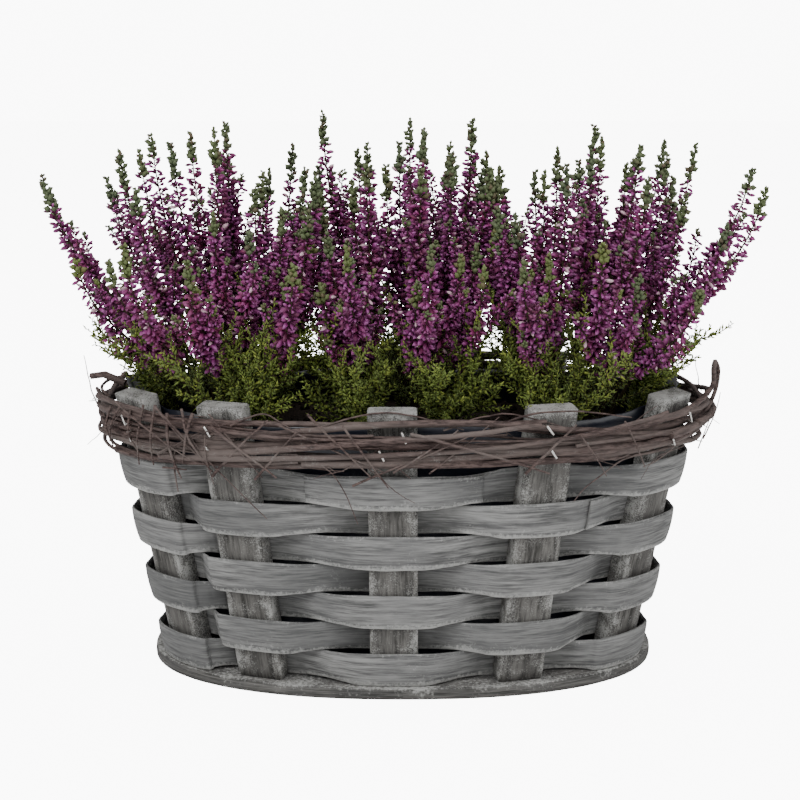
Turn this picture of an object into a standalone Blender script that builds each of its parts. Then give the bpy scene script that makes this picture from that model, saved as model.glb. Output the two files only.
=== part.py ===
"""Potted heather: three bud-flowering heathers in an oval basket woven from wood chip strips.

Metres, +Z up. X runs along the oval's long axis, -Y is the front, and the origin lies at the
middle of the base board's underside. Angles round the oval are counted from the front (-Y)
towards +X.
"""

import math
import random

import bmesh
import bpy
from mathutils import Vector

TOUCH = 0.0003  # gap kept between pieces that touch

# Oval of the basket, taken at the middle of the stakes' thickness
OVAL_POWER = 2.25
BASE_HALF = (0.128, 0.071)
TOP_HALF = (0.160, 0.088)
BASKET_HEIGHT = 0.158
WALK_STEP = 0.002

# Base board
BOARD_HALF = (0.141, 0.083)
BOARD_THICK = 0.006
BOARD_POINTS = 40

# Stakes, placed by shares of the oval's half length, front left to right and back right to left
STAKE_WIDTH = 0.0255
STAKE_THICK = 0.011
FRONT_SHARES = (-0.885, -0.58, -0.035, 0.475, 0.885)
BACK_SHARES = (0.885, 0.54, 0.0, -0.54, -0.885)

# Weavers: half heights and swings at the shares of the way from one stake to the next
ROWS = 7
ROW_PITCH = 0.0166
STRIP_THICK = 0.0016
STRIP_HALF = 0.0093
STAKE_EDGE_REACH = 0.0148
BETWEEN_STAKES = ((0.25, 0.62, 0.0085), (0.5, 0.0, 0.0079), (0.75, -0.62, 0.0085))

# Twig border: each closed twig has (level, waves round, phase, radius)
RING_TWIGS = (
    (0.1335, 3, 0.0, 0.0021),
    (0.1390, 4, 2.0, 0.0024),
    (0.1450, 3, 4.4, 0.0020),
    (0.1498, 5, 1.1, 0.0018),
)
RING_POINTS = 22
RING_WAVE = 0.0042
RING_WANDER = 0.0006
SLANT_TWIGS = 3
SLANT_POINTS = 7
SLANT_SPAN = (1.1, 1.9)
SLANT_WAVE = 0.003
SLANT_RADIUS = (0.0014, 0.0022)
SLANT_TAPER = 0.45
TWIG_BAND = (0.1305, 0.1525)
TWIG_OUT = 0.0104
TWIG_BULGE = 0.0012
TWIG_SEED = 41

# Liner and soil
LINER_IN = 0.0092
LINER_THICK = 0.0008
LINER_TOP = 0.147
LINER_FOOT = 0.004
SOIL_TOP = 0.128
SOIL_HOLE_DEPTH = 0.014
HOLE_SIDES = 4
HOLE_OVERSHOOT = 0.002
ROUND_POINTS = 32

# Heathers: where the stems leave the soil, the middle and half size of the crown of tips, and
# the sprays that carry one more spike low in front, with its place along X
PLANTS = {
    "left": {
        "root": -0.094,
        "crown": -0.114,
        "half": (0.068, 0.082),
        "low": {5: -0.138, 6: -0.107, 7: -0.055},
        "seed": 11,
    },
    "middle": {
        "root": 0.0,
        "crown": 0.0,
        "half": (0.050, 0.082),
        "low": {5: -0.028, 6: 0.014},
        "seed": 23,
    },
    "right": {
        "root": 0.094,
        "crown": 0.114,
        "half": (0.068, 0.082),
        "low": {5: 0.060, 6: 0.099},
        "seed": 37,
    },
}

# Steps from a plant's seed to the seeds of its tufts, low spikes and florets
TUFT_DRAW = 100
LOW_DRAW = 300
FLORET_DRAW = 500

SPRAYS_ROUND = 7
SPIKES_PER_SPRAY = 3
TRUNK_RING = (0.021, 0.026)
TRUNK_RADIUS = 0.0019
TRUNK_ABOVE = 0.011
TRUNK_TAPER = 0.8
ROOT_SINK = 0.005
STEM_RADIUS = 0.0009

# Where the tips of a spray stand in the crown: (share of the half size, swing in radians)
MIDDLE_REACH = 0.2
ROUND_PLACES = ((0.54, 0.0), (0.93, -0.22), (0.93, 0.22))
PLACE_WANDER = (0.04, 0.05)
TIP_HEIGHT = 0.290
FRONT_DROP = 0.068
SIDE_DROP = 0.026
HEIGHT_WANDER = (-0.014, 0.012)
END_FROM = (0.9, 0.8)
END_REACH = 0.018
CROWN_SQUARE = 0.6
LOW_FRONT = -0.090
LOW_HEIGHTS = (0.231, 0.245)
LEAN_OUT = 0.6
LEAN_FRONT = 0.7
LEAN_UP = 0.36

# Flowering spikes: shares along the stem
STEM_SPREAD = 0.36
STEM_RISE = 0.42
TIP_RUN = 0.34
LEAF_WHORL = (0.2, 0.0036)
FLORETS_FROM = 0.36
FLORETS_TO = 0.84
SHARE_WANDER = 0.03
FLORET_RINGS = 7
FLORET_OUT = 0.0086
FLORET_IN = 0.0026
FLORET_TAPER = 0.40
FIRST_FLORET = 0.7
FLORET_DROOP = -0.0012
TIP_RINGS = 2
TIP_OUT = 0.0032
TIP_IN = 0.0018
TIP_TAPER = 0.25
TIP_SPARE = 0.5
LEAF_RISE = 0.001
POINT_LENGTH = 1.6

# Low leafy tufts: headings from each plant's root, in degrees
TUFT_HEADINGS = {"left": (-80, 180, 80), "middle": (-124, -56, 90), "right": (-100, 0, 100)}
TUFT_RING = (0.034, 0.046)
TUFT_FAN = 1.7
TUFT_LENGTH = 0.036
TUFT_LENGTH_WANDER = (-0.004, 0.006)
TUFT_RISES = (0.052, 0.032)
TUFT_STRETCH = 1.1
TUFT_TRUNK = 0.6
SHOOTS_PER_TUFT = 5
SHOOT_RISE = 0.012
SHOOT_RUN = 0.2
SHOOT_BEND = (0.3, 0.003)
SCALE_RINGS = 4
SCALES_FROM = 0.22
SCALES_TO = 0.92
SCALE_OUT = 0.0042
SCALE_IN = 0.0015
INSIDE_RIM = 0.0135

# Base colour and roughness of each finish
FINISHES = {
    "chip_strip": ((0.21, 0.20, 0.19), 0.8),
    "board_wood": ((0.24, 0.235, 0.225), 0.8),
    "stake_wood": ((0.17, 0.155, 0.14), 0.85),
    "twig_bark": ((0.13, 0.085, 0.078), 0.8),
    "liner_film": ((0.012, 0.014, 0.022), 0.45),
    "soil": ((0.025, 0.016, 0.010), 0.95),
    "heather_flowers": ((0.33, 0.05, 0.22), 0.6),
    "heather_leaves": ((0.07, 0.13, 0.03), 0.6),
}

PARTS_COLLECTION = "potted_heather"
CUTTERS_COLLECTION = "cutters"


def sign_power(value, power):
    return math.copysign(abs(value) ** power, value)


def half_axes(z):
    """Half length and half width of the flaring oval at height z."""
    share = z / BASKET_HEIGHT
    return tuple(low + (high - low) * share for low, high in zip(BASE_HALF, TOP_HALF))


def normal_at(turn, z, half=None):
    """Level direction that points straight out of the oval."""
    a, b = half or half_axes(z)
    x = sign_power(math.sin(turn), 2 / OVAL_POWER)
    y = -sign_power(math.cos(turn), 2 / OVAL_POWER)
    steep = OVAL_POWER - 1
    return Vector((sign_power(x, steep) / a, sign_power(y, steep) / b, 0)).normalized()


def oval(turn, z, out=0.0, half=None):
    """Point of the oval at angle turn from the front, moved outwards by out."""
    a, b = half or half_axes(z)
    x = a * sign_power(math.sin(turn), 2 / OVAL_POWER)
    y = -b * sign_power(math.cos(turn), 2 / OVAL_POWER)
    return Vector((x, y, z)) + normal_at(turn, z, half) * out


def turn_at_arc(turn, arc, z):
    """Angle reached by walking arc metres round the oval from turn."""
    step = math.copysign(WALK_STEP, arc)
    walked = 0.0
    while walked < abs(arc):
        before = oval(turn, z)
        turn += step
        walked += (oval(turn, z) - before).length
    return turn


def stake_turns():
    """The ten stakes' angles, once round from the middle one in front."""
    front = [math.asin(sign_power(share, OVAL_POWER / 2)) for share in FRONT_SHARES]
    back = [math.pi - math.asin(sign_power(share, OVAL_POWER / 2)) for share in BACK_SHARES]
    middle = len(front) // 2
    return front[middle:] + back + [turn + 2 * math.pi for turn in front[:middle]]


def link(mesh, name, material):
    """New named part in the model's collection."""
    part = bpy.data.objects.new(name, mesh)
    part.data.materials.append(material)
    bpy.data.collections[PARTS_COLLECTION].objects.link(part)
    return part


def mesh_from(body, name):
    mesh = bpy.data.meshes.new(name)
    body.to_mesh(mesh)
    body.free()
    return mesh


def make_material(name, color, roughness):
    material = bpy.data.materials.new(name)
    material.use_nodes = True
    shader = material.node_tree.nodes["Principled BSDF"]
    shader.inputs["Base Color"].default_value = (*color, 1.0)
    shader.inputs["Roughness"].default_value = roughness
    shader.inputs["Metallic"].default_value = 0.0
    return material


def make_board(material):
    """Flat oval board that everything stands on."""
    curve = bpy.data.curves.new("base_board", "CURVE")
    curve.dimensions = "2D"
    curve.fill_mode = "BOTH"
    curve.extrude = BOARD_THICK / 2
    spline = curve.splines.new("POLY")
    spline.use_cyclic_u = True
    spline.points.add(BOARD_POINTS - 1)
    for index, point in enumerate(spline.points):
        place = oval(2 * math.pi * index / BOARD_POINTS, 0.0, half=BOARD_HALF)
        point.co = (place.x, place.y, 0.0, 1.0)
    board = link(curve, "base_board", material)
    board.location.z = BOARD_THICK / 2


def make_stake(name, turn, material):
    """Leaning slat: foot cut level with the board, top cut square to its own length."""
    foot_z = BOARD_THICK + TOUCH
    foot = oval(turn, foot_z)
    head = oval(turn, BASKET_HEIGHT)
    face = normal_at(turn, BASKET_HEIGHT / 2)
    across = Vector((-face.y, face.x, 0))
    lean = (head - foot).normalized().dot(face)
    body = bmesh.new()
    bmesh.ops.create_cube(body, size=1.0)
    for vert in body.verts:
        out = vert.co.x * STAKE_THICK
        aside = vert.co.y * STAKE_WIDTH
        if vert.co.z > 0:
            vert.co = head + face * out + across * aside + Vector((0, 0, -out * lean))
        else:
            vert.co = foot + face * out + across * aside
    bmesh.ops.recalc_face_normals(body, faces=body.faces)
    link(mesh_from(body, name), name, material)


def strip_stations(row, turns):
    """Height of one weaver and its (angle, offset, half height) all the way round.

    It passes in front of one stake and behind the next, and the next row does the opposite.
    """
    z = BOARD_THICK + TOUCH + STRIP_HALF + row * ROW_PITCH
    clear = STAKE_THICK / 2 + TOUCH + STRIP_THICK / 2
    edges = []
    for turn in turns:
        edges.append((turn_at_arc(turn, -STAKE_EDGE_REACH, z), turn_at_arc(turn, STAKE_EDGE_REACH, z)))
    stations = []
    for index, turn in enumerate(turns):
        side = 1 if (index + row) % 2 == 0 else -1
        middle, face = oval(turn, z), normal_at(turn, z)
        for edge in edges[index]:
            drop = (oval(edge, z) - middle).dot(face)
            out = (side * clear - drop) / normal_at(edge, z).dot(face)
            stations.append((edge, out, STRIP_HALF))
        leave = edges[index][1]
        last = index == len(turns) - 1
        arrive = edges[0][0] + 2 * math.pi if last else edges[index + 1][0]
        for share, swing, half in BETWEEN_STAKES:
            stations.append((leave + (arrive - leave) * share, side * swing * clear, half))
    return z, stations


def make_weaver(name, row, turns, material):
    """One closed ring of chip strip, a band that flares with the basket."""
    z, stations = strip_stations(row, turns)
    body = bmesh.new()
    pairs = []
    for turn, out, half in stations:
        pairs.append([body.verts.new(oval(turn, z + level, out)) for level in (-half, half)])
    for here, there in zip(pairs, pairs[1:] + pairs[:1]):
        body.faces.new((here[0], there[0], there[1], here[1]))
    strip = link(mesh_from(body, name), name, material)
    solid = strip.modifiers.new("thickness", "SOLIDIFY")
    solid.thickness = STRIP_THICK
    solid.offset = 0.0
    solid.use_even_offset = True


def oval_cup(levels):
    """Oval rings joined from the bottom up, with a floor and an open top."""
    body = bmesh.new()
    rings = []
    for z, out in levels:
        turns = [2 * math.pi * index / ROUND_POINTS for index in range(ROUND_POINTS)]
        rings.append([body.verts.new(oval(turn, z, out)) for turn in turns])
    for low, high in zip(rings, rings[1:]):
        for index in range(ROUND_POINTS):
            after = (index + 1) % ROUND_POINTS
            body.faces.new((low[index], low[after], high[after], high[index]))
    body.faces.new(list(reversed(rings[0])))
    return body, rings[-1]


def make_liner(material):
    """Plastic film tray inside the weave, open at the top."""
    floor = BOARD_THICK + TOUCH
    levels = (
        (floor, -LINER_IN - LINER_FOOT),
        (floor + LINER_FOOT, -LINER_IN),
        (LINER_TOP, -LINER_IN),
    )
    body, _ = oval_cup(levels)
    liner = link(mesh_from(body, "liner"), "liner", material)
    solid = liner.modifiers.new("thickness", "SOLIDIFY")
    solid.thickness = LINER_THICK
    solid.offset = -1.0


def make_soil(feet, material):
    """Potting mix with a plain hole for each stem."""
    inside = LINER_IN + LINER_THICK + TOUCH
    floor = BOARD_THICK + 2 * TOUCH + LINER_THICK
    levels = (
        (floor, -inside - LINER_FOOT),
        (floor + LINER_FOOT, -inside),
        (SOIL_TOP, -inside),
    )
    body, top = oval_cup(levels)
    body.faces.new(top)
    soil = link(mesh_from(body, "potting_soil"), "potting_soil", material)
    hole_radius = (TRUNK_RADIUS + TOUCH) / math.cos(math.pi / HOLE_SIDES)
    depth = SOIL_HOLE_DEPTH + HOLE_OVERSHOOT
    cutter = bmesh.new()
    for foot in feet:
        hole = bmesh.ops.create_cone(
            cutter,
            cap_ends=True,
            segments=HOLE_SIDES,
            radius1=hole_radius,
            radius2=hole_radius,
            depth=depth,
        )
        middle = Vector((foot.x, foot.y, SOIL_TOP + HOLE_OVERSHOOT - depth / 2))
        bmesh.ops.translate(cutter, verts=hole["verts"], vec=middle)
    holes = bpy.data.objects.new("stem_holes", mesh_from(cutter, "stem_holes"))
    holes.hide_render = True
    holes.display_type = "WIRE"
    bpy.data.collections[CUTTERS_COLLECTION].objects.link(holes)
    cut = soil.modifiers.new("stem holes", "BOOLEAN")
    cut.operation = "DIFFERENCE"
    cut.object = holes
    cut.solver = "MANIFOLD"


def frames_along(points):
    """Two cross directions and the heading at each point, carried along without twisting."""
    last = len(points) - 1
    aims = []
    for index in range(len(points)):
        aims.append((points[min(index + 1, last)] - points[max(index - 1, 0)]).normalized())
    side = aims[0].orthogonal().normalized()
    frames = []
    for aim in aims:
        side = (side - aim * side.dot(aim)).normalized()
        frames.append((side, aim.cross(side), aim))
    return frames


def four_sided_stem(points, rings, pointed):
    """Stem with four corners to a ring, split so that each wide pair stands out as two florets.

    Each ring is (radius of the first pair, radius of the second pair, how far the wide pair
    slides along the stem).
    """
    frames = frames_along(points)
    body = bmesh.new()
    loops = []
    for place, (side, other, aim), (first, second, slide) in zip(points, frames, rings):
        corners = []
        for outward, radius in ((side, first), (other, second), (-side, first), (-other, second)):
            shift = aim * slide if radius == max(first, second) and first != second else Vector()
            corners.append(body.verts.new(place + outward * radius + shift))
        loops.append(corners)
    for low, high, ring in zip(loops, loops[1:], rings):
        for corner in range(4):
            after = (corner + 1) % 4
            if ring[corner % 2] > ring[after % 2]:
                body.faces.new((low[corner], low[after], high[corner]))
                body.faces.new((low[after], high[after], high[corner]))
            else:
                body.faces.new((low[corner], low[after], high[after]))
                body.faces.new((low[corner], high[after], high[corner]))
    body.faces.new(list(reversed(loops[0])))
    if pointed:
        tip = body.verts.new(points[-1] + frames[-1][2] * rings[-1][0] * POINT_LENGTH)
        for corner in range(4):
            body.faces.new((loops[-1][corner], loops[-1][(corner + 1) % 4], tip))
    else:
        body.faces.new(loops[-1])
    return mesh_from(body, "stem")


def bezier(path, share):
    start, first, second, end = path
    rest = 1 - share
    bends = first * (3 * rest**2 * share) + second * (3 * rest * share**2)
    return start * rest**3 + bends + end * share**3


def crossed_pair(wide, narrow, index, slide):
    """Ring radii whose wide pair turns a quarter from one ring to the next."""
    return (wide, narrow, slide) if index % 2 else (narrow, wide, slide)


def spike_mesh(path, rng):
    """Leafy stem, florets in crossed pairs that get smaller upwards, and a leafy green tip."""
    start = FLORETS_FROM + rng.uniform(-SHARE_WANDER, SHARE_WANDER)
    end = FLORETS_TO + rng.uniform(-SHARE_WANDER, SHARE_WANDER)
    whorl_share, whorl_out = LEAF_WHORL
    shares = [0.0, whorl_share]
    rings = [(STEM_RADIUS, STEM_RADIUS, 0.0), crossed_pair(whorl_out, STEM_RADIUS, 1, LEAF_RISE)]
    for index in range(FLORET_RINGS):
        along = index / (FLORET_RINGS - 1)
        wide = FLORET_OUT * (1 - FLORET_TAPER * along)
        if index == 0:
            wide *= FIRST_FLORET
        shares.append(start + (end - start) * along)
        rings.append(crossed_pair(wide, FLORET_IN, index, FLORET_DROOP))
    for index in range(TIP_RINGS):
        wide = TIP_OUT * (1 - TIP_TAPER * index)
        shares.append(end + (1 - end) * (index + 1) / (TIP_RINGS + TIP_SPARE))
        rings.append(crossed_pair(wide, TIP_IN, index, LEAF_RISE))
    return four_sided_stem([bezier(path, share) for share in shares], rings, pointed=True)


def shoot_mesh(path):
    """Low green shoot with its scale leaves in crossed pairs."""
    shares = [0.0]
    rings = [(STEM_RADIUS, STEM_RADIUS, 0.0)]
    for index in range(SCALE_RINGS):
        shares.append(SCALES_FROM + (SCALES_TO - SCALES_FROM) * index / (SCALE_RINGS - 1))
        rings.append(crossed_pair(SCALE_OUT, SCALE_IN, index, LEAF_RISE))
    return four_sided_stem([bezier(path, share) for share in shares], rings, pointed=True)


def trunk_mesh(foot, fork):
    """Short woody stem from its hole in the soil up to the fork."""
    thin = TRUNK_RADIUS * TRUNK_TAPER
    rings = [(TRUNK_RADIUS, TRUNK_RADIUS, 0.0), (thin, thin, 0.0)]
    return four_sided_stem([foot, fork], rings, pointed=False)


def keep_outer_skin(mesh):
    """Fill hollows that fusing sealed and drop scraps: only the skin with the most faces stays."""
    body = bmesh.new()
    body.from_mesh(mesh)
    left = set(body.faces)
    skins = []
    while left:
        skin = set()
        edge_of_skin = {left.pop()}
        while edge_of_skin:
            skin |= edge_of_skin
            near = {side for face in edge_of_skin for edge in face.edges for side in edge.link_faces}
            edge_of_skin = near & left
            left -= edge_of_skin
        skins.append(skin)
    skins.sort(key=len)
    loose = [face for skin in skins[:-1] for face in skin]
    bmesh.ops.delete(body, geom=loose, context="FACES")
    body.to_mesh(mesh)
    body.free()


def fuse(name, base_mesh, other_meshes, material):
    """One part that is the union of the meshes, whose roots are sunk into the first."""
    group = bpy.data.collections.new(name + "_pieces")
    bpy.context.scene.collection.children.link(group)
    for mesh in other_meshes:
        group.objects.link(bpy.data.objects.new(name + "_piece", mesh))
    part = link(base_mesh, name, material)
    union = part.modifiers.new("union", "BOOLEAN")
    union.operation = "UNION"
    union.operand_type = "COLLECTION"
    union.collection = group
    union.solver = "MANIFOLD"
    bpy.context.view_layer.update()
    graph = bpy.context.evaluated_depsgraph_get()
    joined = bpy.data.meshes.new_from_object(part.evaluated_get(graph))
    keep_outer_skin(joined)
    part.modifiers.clear()
    part.data = joined
    for piece in list(group.objects):
        bpy.data.objects.remove(piece)
    bpy.data.collections.remove(group)


def spray_layout(plant):
    """Foot of each flowering spray's trunk with its (tip, heading at the tip) pairs.

    One spray stands in the middle of the plant and the rest round it. Stems spread out from
    their feet, so that no two cross.
    """
    rng = random.Random(plant["seed"])
    low_rng = random.Random(plant["seed"] + LOW_DRAW)
    root, crown, (half_x, half_y) = plant["root"], plant["crown"], plant["half"]
    outward = 1 if crown > root else -1
    layout = []
    for spray in range(SPRAYS_ROUND + 1):
        heading = 2 * math.pi * (spray - 0.5) / SPRAYS_ROUND
        foot = Vector((root, 0, 0))
        places = [(MIDDLE_REACH, 2 * math.pi * part / SPIKES_PER_SPRAY) for part in range(SPIKES_PER_SPRAY)]
        if spray:
            foot += Vector((TRUNK_RING[0] * math.cos(heading), TRUNK_RING[1] * math.sin(heading), 0))
            places = ROUND_PLACES
        tips = []
        for reach, swing in places:
            far = reach + rng.uniform(-PLACE_WANDER[0], PLACE_WANDER[0])
            angle = heading + swing + rng.uniform(-PLACE_WANDER[1], PLACE_WANDER[1])
            x = crown + half_x * far * sign_power(math.cos(angle), CROWN_SQUARE)
            y = half_y * far * math.sin(angle)
            front = max(0.0, -math.sin(angle)) * far
            z = TIP_HEIGHT - FRONT_DROP * front**2 - SIDE_DROP * abs(math.cos(angle)) * far
            z += rng.uniform(*HEIGHT_WANDER)
            if crown != root and outward * math.cos(angle) > END_FROM[0] and far > END_FROM[1]:
                x += outward * END_REACH
            lean = Vector((x - root, LEAN_FRONT * y, 0)) * LEAN_OUT + Vector((0, 0, LEAN_UP))
            tips.append((Vector((x, y, z)), lean.normalized()))
        if spray in plant["low"]:
            tip = Vector((plant["low"][spray], LOW_FRONT, low_rng.uniform(*LOW_HEIGHTS)))
            tips.append((tip, Vector((0, 0, 1))))
        layout.append((foot, tips))
    return layout


def keep_inside(point):
    """Draw a point in towards the middle of the basket until it clears the rim."""
    half = [size - INSIDE_RIM for size in half_axes(LINER_TOP)]
    reach = (abs(point.x) / half[0]) ** OVAL_POWER + (abs(point.y) / half[1]) ** OVAL_POWER
    shrink = min(1.0, reach ** (-1 / OVAL_POWER))
    return Vector((point.x * shrink, point.y * shrink, point.z))


def tuft_layout(plant, headings):
    """Foot of each low green tuft with the tips of its shoots, outside the flowering stems."""
    rng = random.Random(plant["seed"] + TUFT_DRAW)
    layout = []
    for degrees in headings:
        heading = math.radians(degrees)
        aside = Vector((TUFT_RING[0] * math.cos(heading), TUFT_RING[1] * math.sin(heading), 0))
        foot = Vector((plant["root"], 0, 0)) + aside
        tips = []
        for shoot in range(SHOOTS_PER_TUFT):
            share = shoot / (SHOOTS_PER_TUFT - 1) - 0.5
            angle = heading + TUFT_FAN * share + rng.uniform(-PLACE_WANDER[1], PLACE_WANDER[1])
            length = TUFT_LENGTH + rng.uniform(*TUFT_LENGTH_WANDER)
            flat = Vector((TUFT_STRETCH * math.cos(angle), math.sin(angle), 0)) * length
            up = Vector((0, 0, SOIL_TOP + TUFT_RISES[shoot % 2]))
            tips.append(keep_inside(foot + flat + up))
        layout.append((foot, tips))
    return layout


def trunk_ends(foot, share_above):
    """Bottom of the trunk in its hole, and the fork above the soil."""
    low = foot + Vector((0, 0, SOIL_TOP - SOIL_HOLE_DEPTH + TOUCH))
    return low, foot + Vector((0, 0, SOIL_TOP + TRUNK_ABOVE * share_above))


def make_heather(side, plant, flowers, leaves):
    """Flowering sprays and low green tufts of one plant. Returns where its stems enter the soil."""
    rng = random.Random(plant["seed"] + FLORET_DRAW)
    feet = []
    for index, (foot, tips) in enumerate(spray_layout(plant)):
        low, fork = trunk_ends(foot, 1.0)
        start = fork - Vector((0, 0, ROOT_SINK))
        spikes = []
        for tip, lean in tips:
            run = tip - start
            reach = run.length
            rise = start + Vector((STEM_SPREAD * run.x, STEM_SPREAD * run.y, STEM_RISE * reach))
            spikes.append(spike_mesh((start, rise, tip - lean * (TIP_RUN * reach), tip), rng))
        name = f"heather_{side}_flower_spray_{index + 1}"
        fuse(name, trunk_mesh(low, fork), spikes, flowers)
        feet.append(foot)
    for index, (foot, tips) in enumerate(tuft_layout(plant, TUFT_HEADINGS[side])):
        low, fork = trunk_ends(foot, TUFT_TRUNK)
        start = fork - Vector((0, 0, ROOT_SINK))
        shoots = []
        for tip in tips:
            run = tip - start
            rise = start + Vector((0, 0, SHOOT_RISE)) + run * SHOOT_RUN
            bend = tip - run * SHOOT_BEND[0] - Vector((0, 0, SHOOT_BEND[1]))
            shoots.append(shoot_mesh((start, rise, bend, tip)))
        name = f"heather_{side}_leafy_tuft_{index + 1}"
        fuse(name, trunk_mesh(low, fork), shoots, leaves)
        feet.append(foot)
    return feet


def ring_twig(level, waves, phase, rng):
    """Points of a twig that runs right round the basket, dipping and rising."""
    points = []
    for index in range(RING_POINTS):
        turn = 2 * math.pi * index / RING_POINTS
        z = level + RING_WAVE * math.sin(waves * turn + phase)
        z += rng.uniform(-RING_WANDER, RING_WANDER)
        points.append(oval(turn, z, TWIG_OUT + rng.uniform(0.0, RING_WANDER)))
    return points


def slant_twig(rng):
    """Points of a cut twig that crosses the border at a slant for part of the way round."""
    start = rng.uniform(0, 2 * math.pi)
    span = rng.uniform(*SLANT_SPAN)
    low, high = rng.uniform(*TWIG_BAND), rng.uniform(*TWIG_BAND)
    points = []
    for index in range(SLANT_POINTS):
        share = index / (SLANT_POINTS - 1)
        z = low + (high - low) * share + SLANT_WAVE * math.sin(2 * math.pi * share)
        points.append(oval(start + span * share, z, TWIG_OUT + TWIG_BULGE * math.sin(math.pi * share)))
    return points


def twig_mesh(points, radius, closed):
    """Four-sided twig with its corners up, down, in and out. A cut twig tapers to its end."""
    last = len(points) - 1
    body = bmesh.new()
    loops = []
    for index, place in enumerate(points):
        if closed:
            aim = (points[(index + 1) % len(points)] - points[index - 1]).normalized()
        else:
            aim = (points[min(index + 1, last)] - points[max(index - 1, 0)]).normalized()
        up = (Vector((0, 0, 1)) - aim * aim.z).normalized()
        out = aim.cross(up)
        thick = radius if closed else radius * (1 - SLANT_TAPER * index / last)
        loops.append([body.verts.new(place + corner * thick) for corner in (up, out, -up, -out)])
    for low, high in zip(loops, loops[1:] + loops[:1] if closed else loops[1:]):
        for corner in range(4):
            after = (corner + 1) % 4
            body.faces.new((low[corner], low[after], high[after], high[corner]))
    if not closed:
        body.faces.new(list(reversed(loops[0])))
        body.faces.new(loops[-1])
    bmesh.ops.recalc_face_normals(body, faces=body.faces)
    return mesh_from(body, "twig")


def make_twig_border(material):
    """Bunch of thin twigs laid round the stakes above the weave, fused where they cross."""
    rng = random.Random(TWIG_SEED)
    twigs = []
    for level, waves, phase, radius in RING_TWIGS:
        twigs.append(twig_mesh(ring_twig(level, waves, phase, rng), radius, closed=True))
    for _ in range(SLANT_TWIGS):
        twigs.append(twig_mesh(slant_twig(rng), rng.uniform(*SLANT_RADIUS), closed=False))
    fuse("twig_border", twigs[0], twigs[1:], material)


def main():
    for left_over in list(bpy.data.objects):
        bpy.data.objects.remove(left_over)
    for name in (PARTS_COLLECTION, CUTTERS_COLLECTION):
        bpy.context.scene.collection.children.link(bpy.data.collections.new(name))
    finish = {name: make_material(name, *look) for name, look in FINISHES.items()}
    turns = stake_turns()
    make_board(finish["board_wood"])
    for index, turn in enumerate(turns):
        make_stake(f"stake_{index + 1:02d}", turn, finish["stake_wood"])
    for row in range(ROWS):
        make_weaver(f"weaver_{row + 1}", row, turns, finish["chip_strip"])
    make_twig_border(finish["twig_bark"])
    make_liner(finish["liner_film"])
    feet = []
    for side, plant in PLANTS.items():
        feet += make_heather(side, plant, finish["heather_flowers"], finish["heather_leaves"])
    make_soil(feet, finish["soil"])


main()
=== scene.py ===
"""Looks of the potted heather: buds, scale leaves, chip strips, twigs, staples and their finishes.

Laid out as a Blender add-on and run as a script. Metres, +Z up, -Y is the front. The oval, the
stakes' places and the stems' paths follow the same rules and values as the frame's solids.
"""
import math
import random

import bmesh
import bpy
from bpy.props import FloatProperty, FloatVectorProperty, IntProperty, PointerProperty
from mathutils import Matrix, Vector, noise


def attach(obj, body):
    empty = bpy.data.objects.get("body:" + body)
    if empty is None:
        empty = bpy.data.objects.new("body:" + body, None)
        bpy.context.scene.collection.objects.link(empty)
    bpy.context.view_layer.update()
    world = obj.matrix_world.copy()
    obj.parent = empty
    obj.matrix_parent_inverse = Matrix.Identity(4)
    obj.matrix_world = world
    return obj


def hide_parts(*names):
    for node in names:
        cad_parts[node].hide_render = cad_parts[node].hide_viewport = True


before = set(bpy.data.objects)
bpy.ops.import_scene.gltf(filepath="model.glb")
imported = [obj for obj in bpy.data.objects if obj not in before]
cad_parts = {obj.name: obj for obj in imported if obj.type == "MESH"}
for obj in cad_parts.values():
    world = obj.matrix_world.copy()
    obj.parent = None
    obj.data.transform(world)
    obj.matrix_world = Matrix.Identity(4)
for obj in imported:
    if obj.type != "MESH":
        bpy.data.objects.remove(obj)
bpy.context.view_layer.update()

bl_info = {
    "name": "Potted heather",
    "version": (1, 0, 0),
    "blender": (4, 5, 0),
    "location": "View3D > Sidebar > Heather",
    "description": "Three heathers in an oval woven basket, with buds, leaves, strips and twigs",
    "category": "Object",
}

BODY = "root"
GOLDEN_TURN = math.radians(137.508)

# Oval of the basket, taken at the middle of the stakes' thickness
OVAL_POWER = 2.25
BASE_HALF = (0.128, 0.071)
TOP_HALF = (0.160, 0.088)
BASKET_HEIGHT = 0.158
BOARD_HALF = (0.141, 0.083)
BOARD_THICK = 0.006
WALK_STEP = 0.002
TOUCH = 0.0003

# Stakes
STAKE_WIDTH = 0.0255
STAKE_THICK = 0.011
FRONT_SHARES = (-0.885, -0.58, -0.035, 0.475, 0.885)
BACK_SHARES = (0.885, 0.54, 0.0, -0.54, -0.885)

# Weavers
ROWS = 7
ROW_PITCH = 0.0166
STRIP_THICK = 0.0016
STRIP_HALF = 0.0093
STAKE_EDGE_REACH = 0.0148
# Share of the way to the next stake, swing from the last one's side and half height of the strip there
BETWEEN_STAKES = ((0.25, 0.62, 0.0085), (0.5, 0.0, 0.0079), (0.75, -0.62, 0.0085))

# Twig border
# Height, waves, phase and radius of each twig that goes all the way round
RING_TWIGS = (
    (0.1335, 3, 0.0, 0.0021),
    (0.1390, 4, 2.0, 0.0024),
    (0.1450, 3, 4.4, 0.0020),
    (0.1498, 5, 1.1, 0.0018),
)
RING_WAVE = 0.0042
TWIG_BAND = (0.1250, 0.1540)
TWIG_OUT = 0.0104

# Liner and soil
LINER_IN = 0.0092
LINER_THICK = 0.0008
LINER_TOP = 0.147
LINER_RIM = 0.158
SOIL_TOP = 0.128

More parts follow.
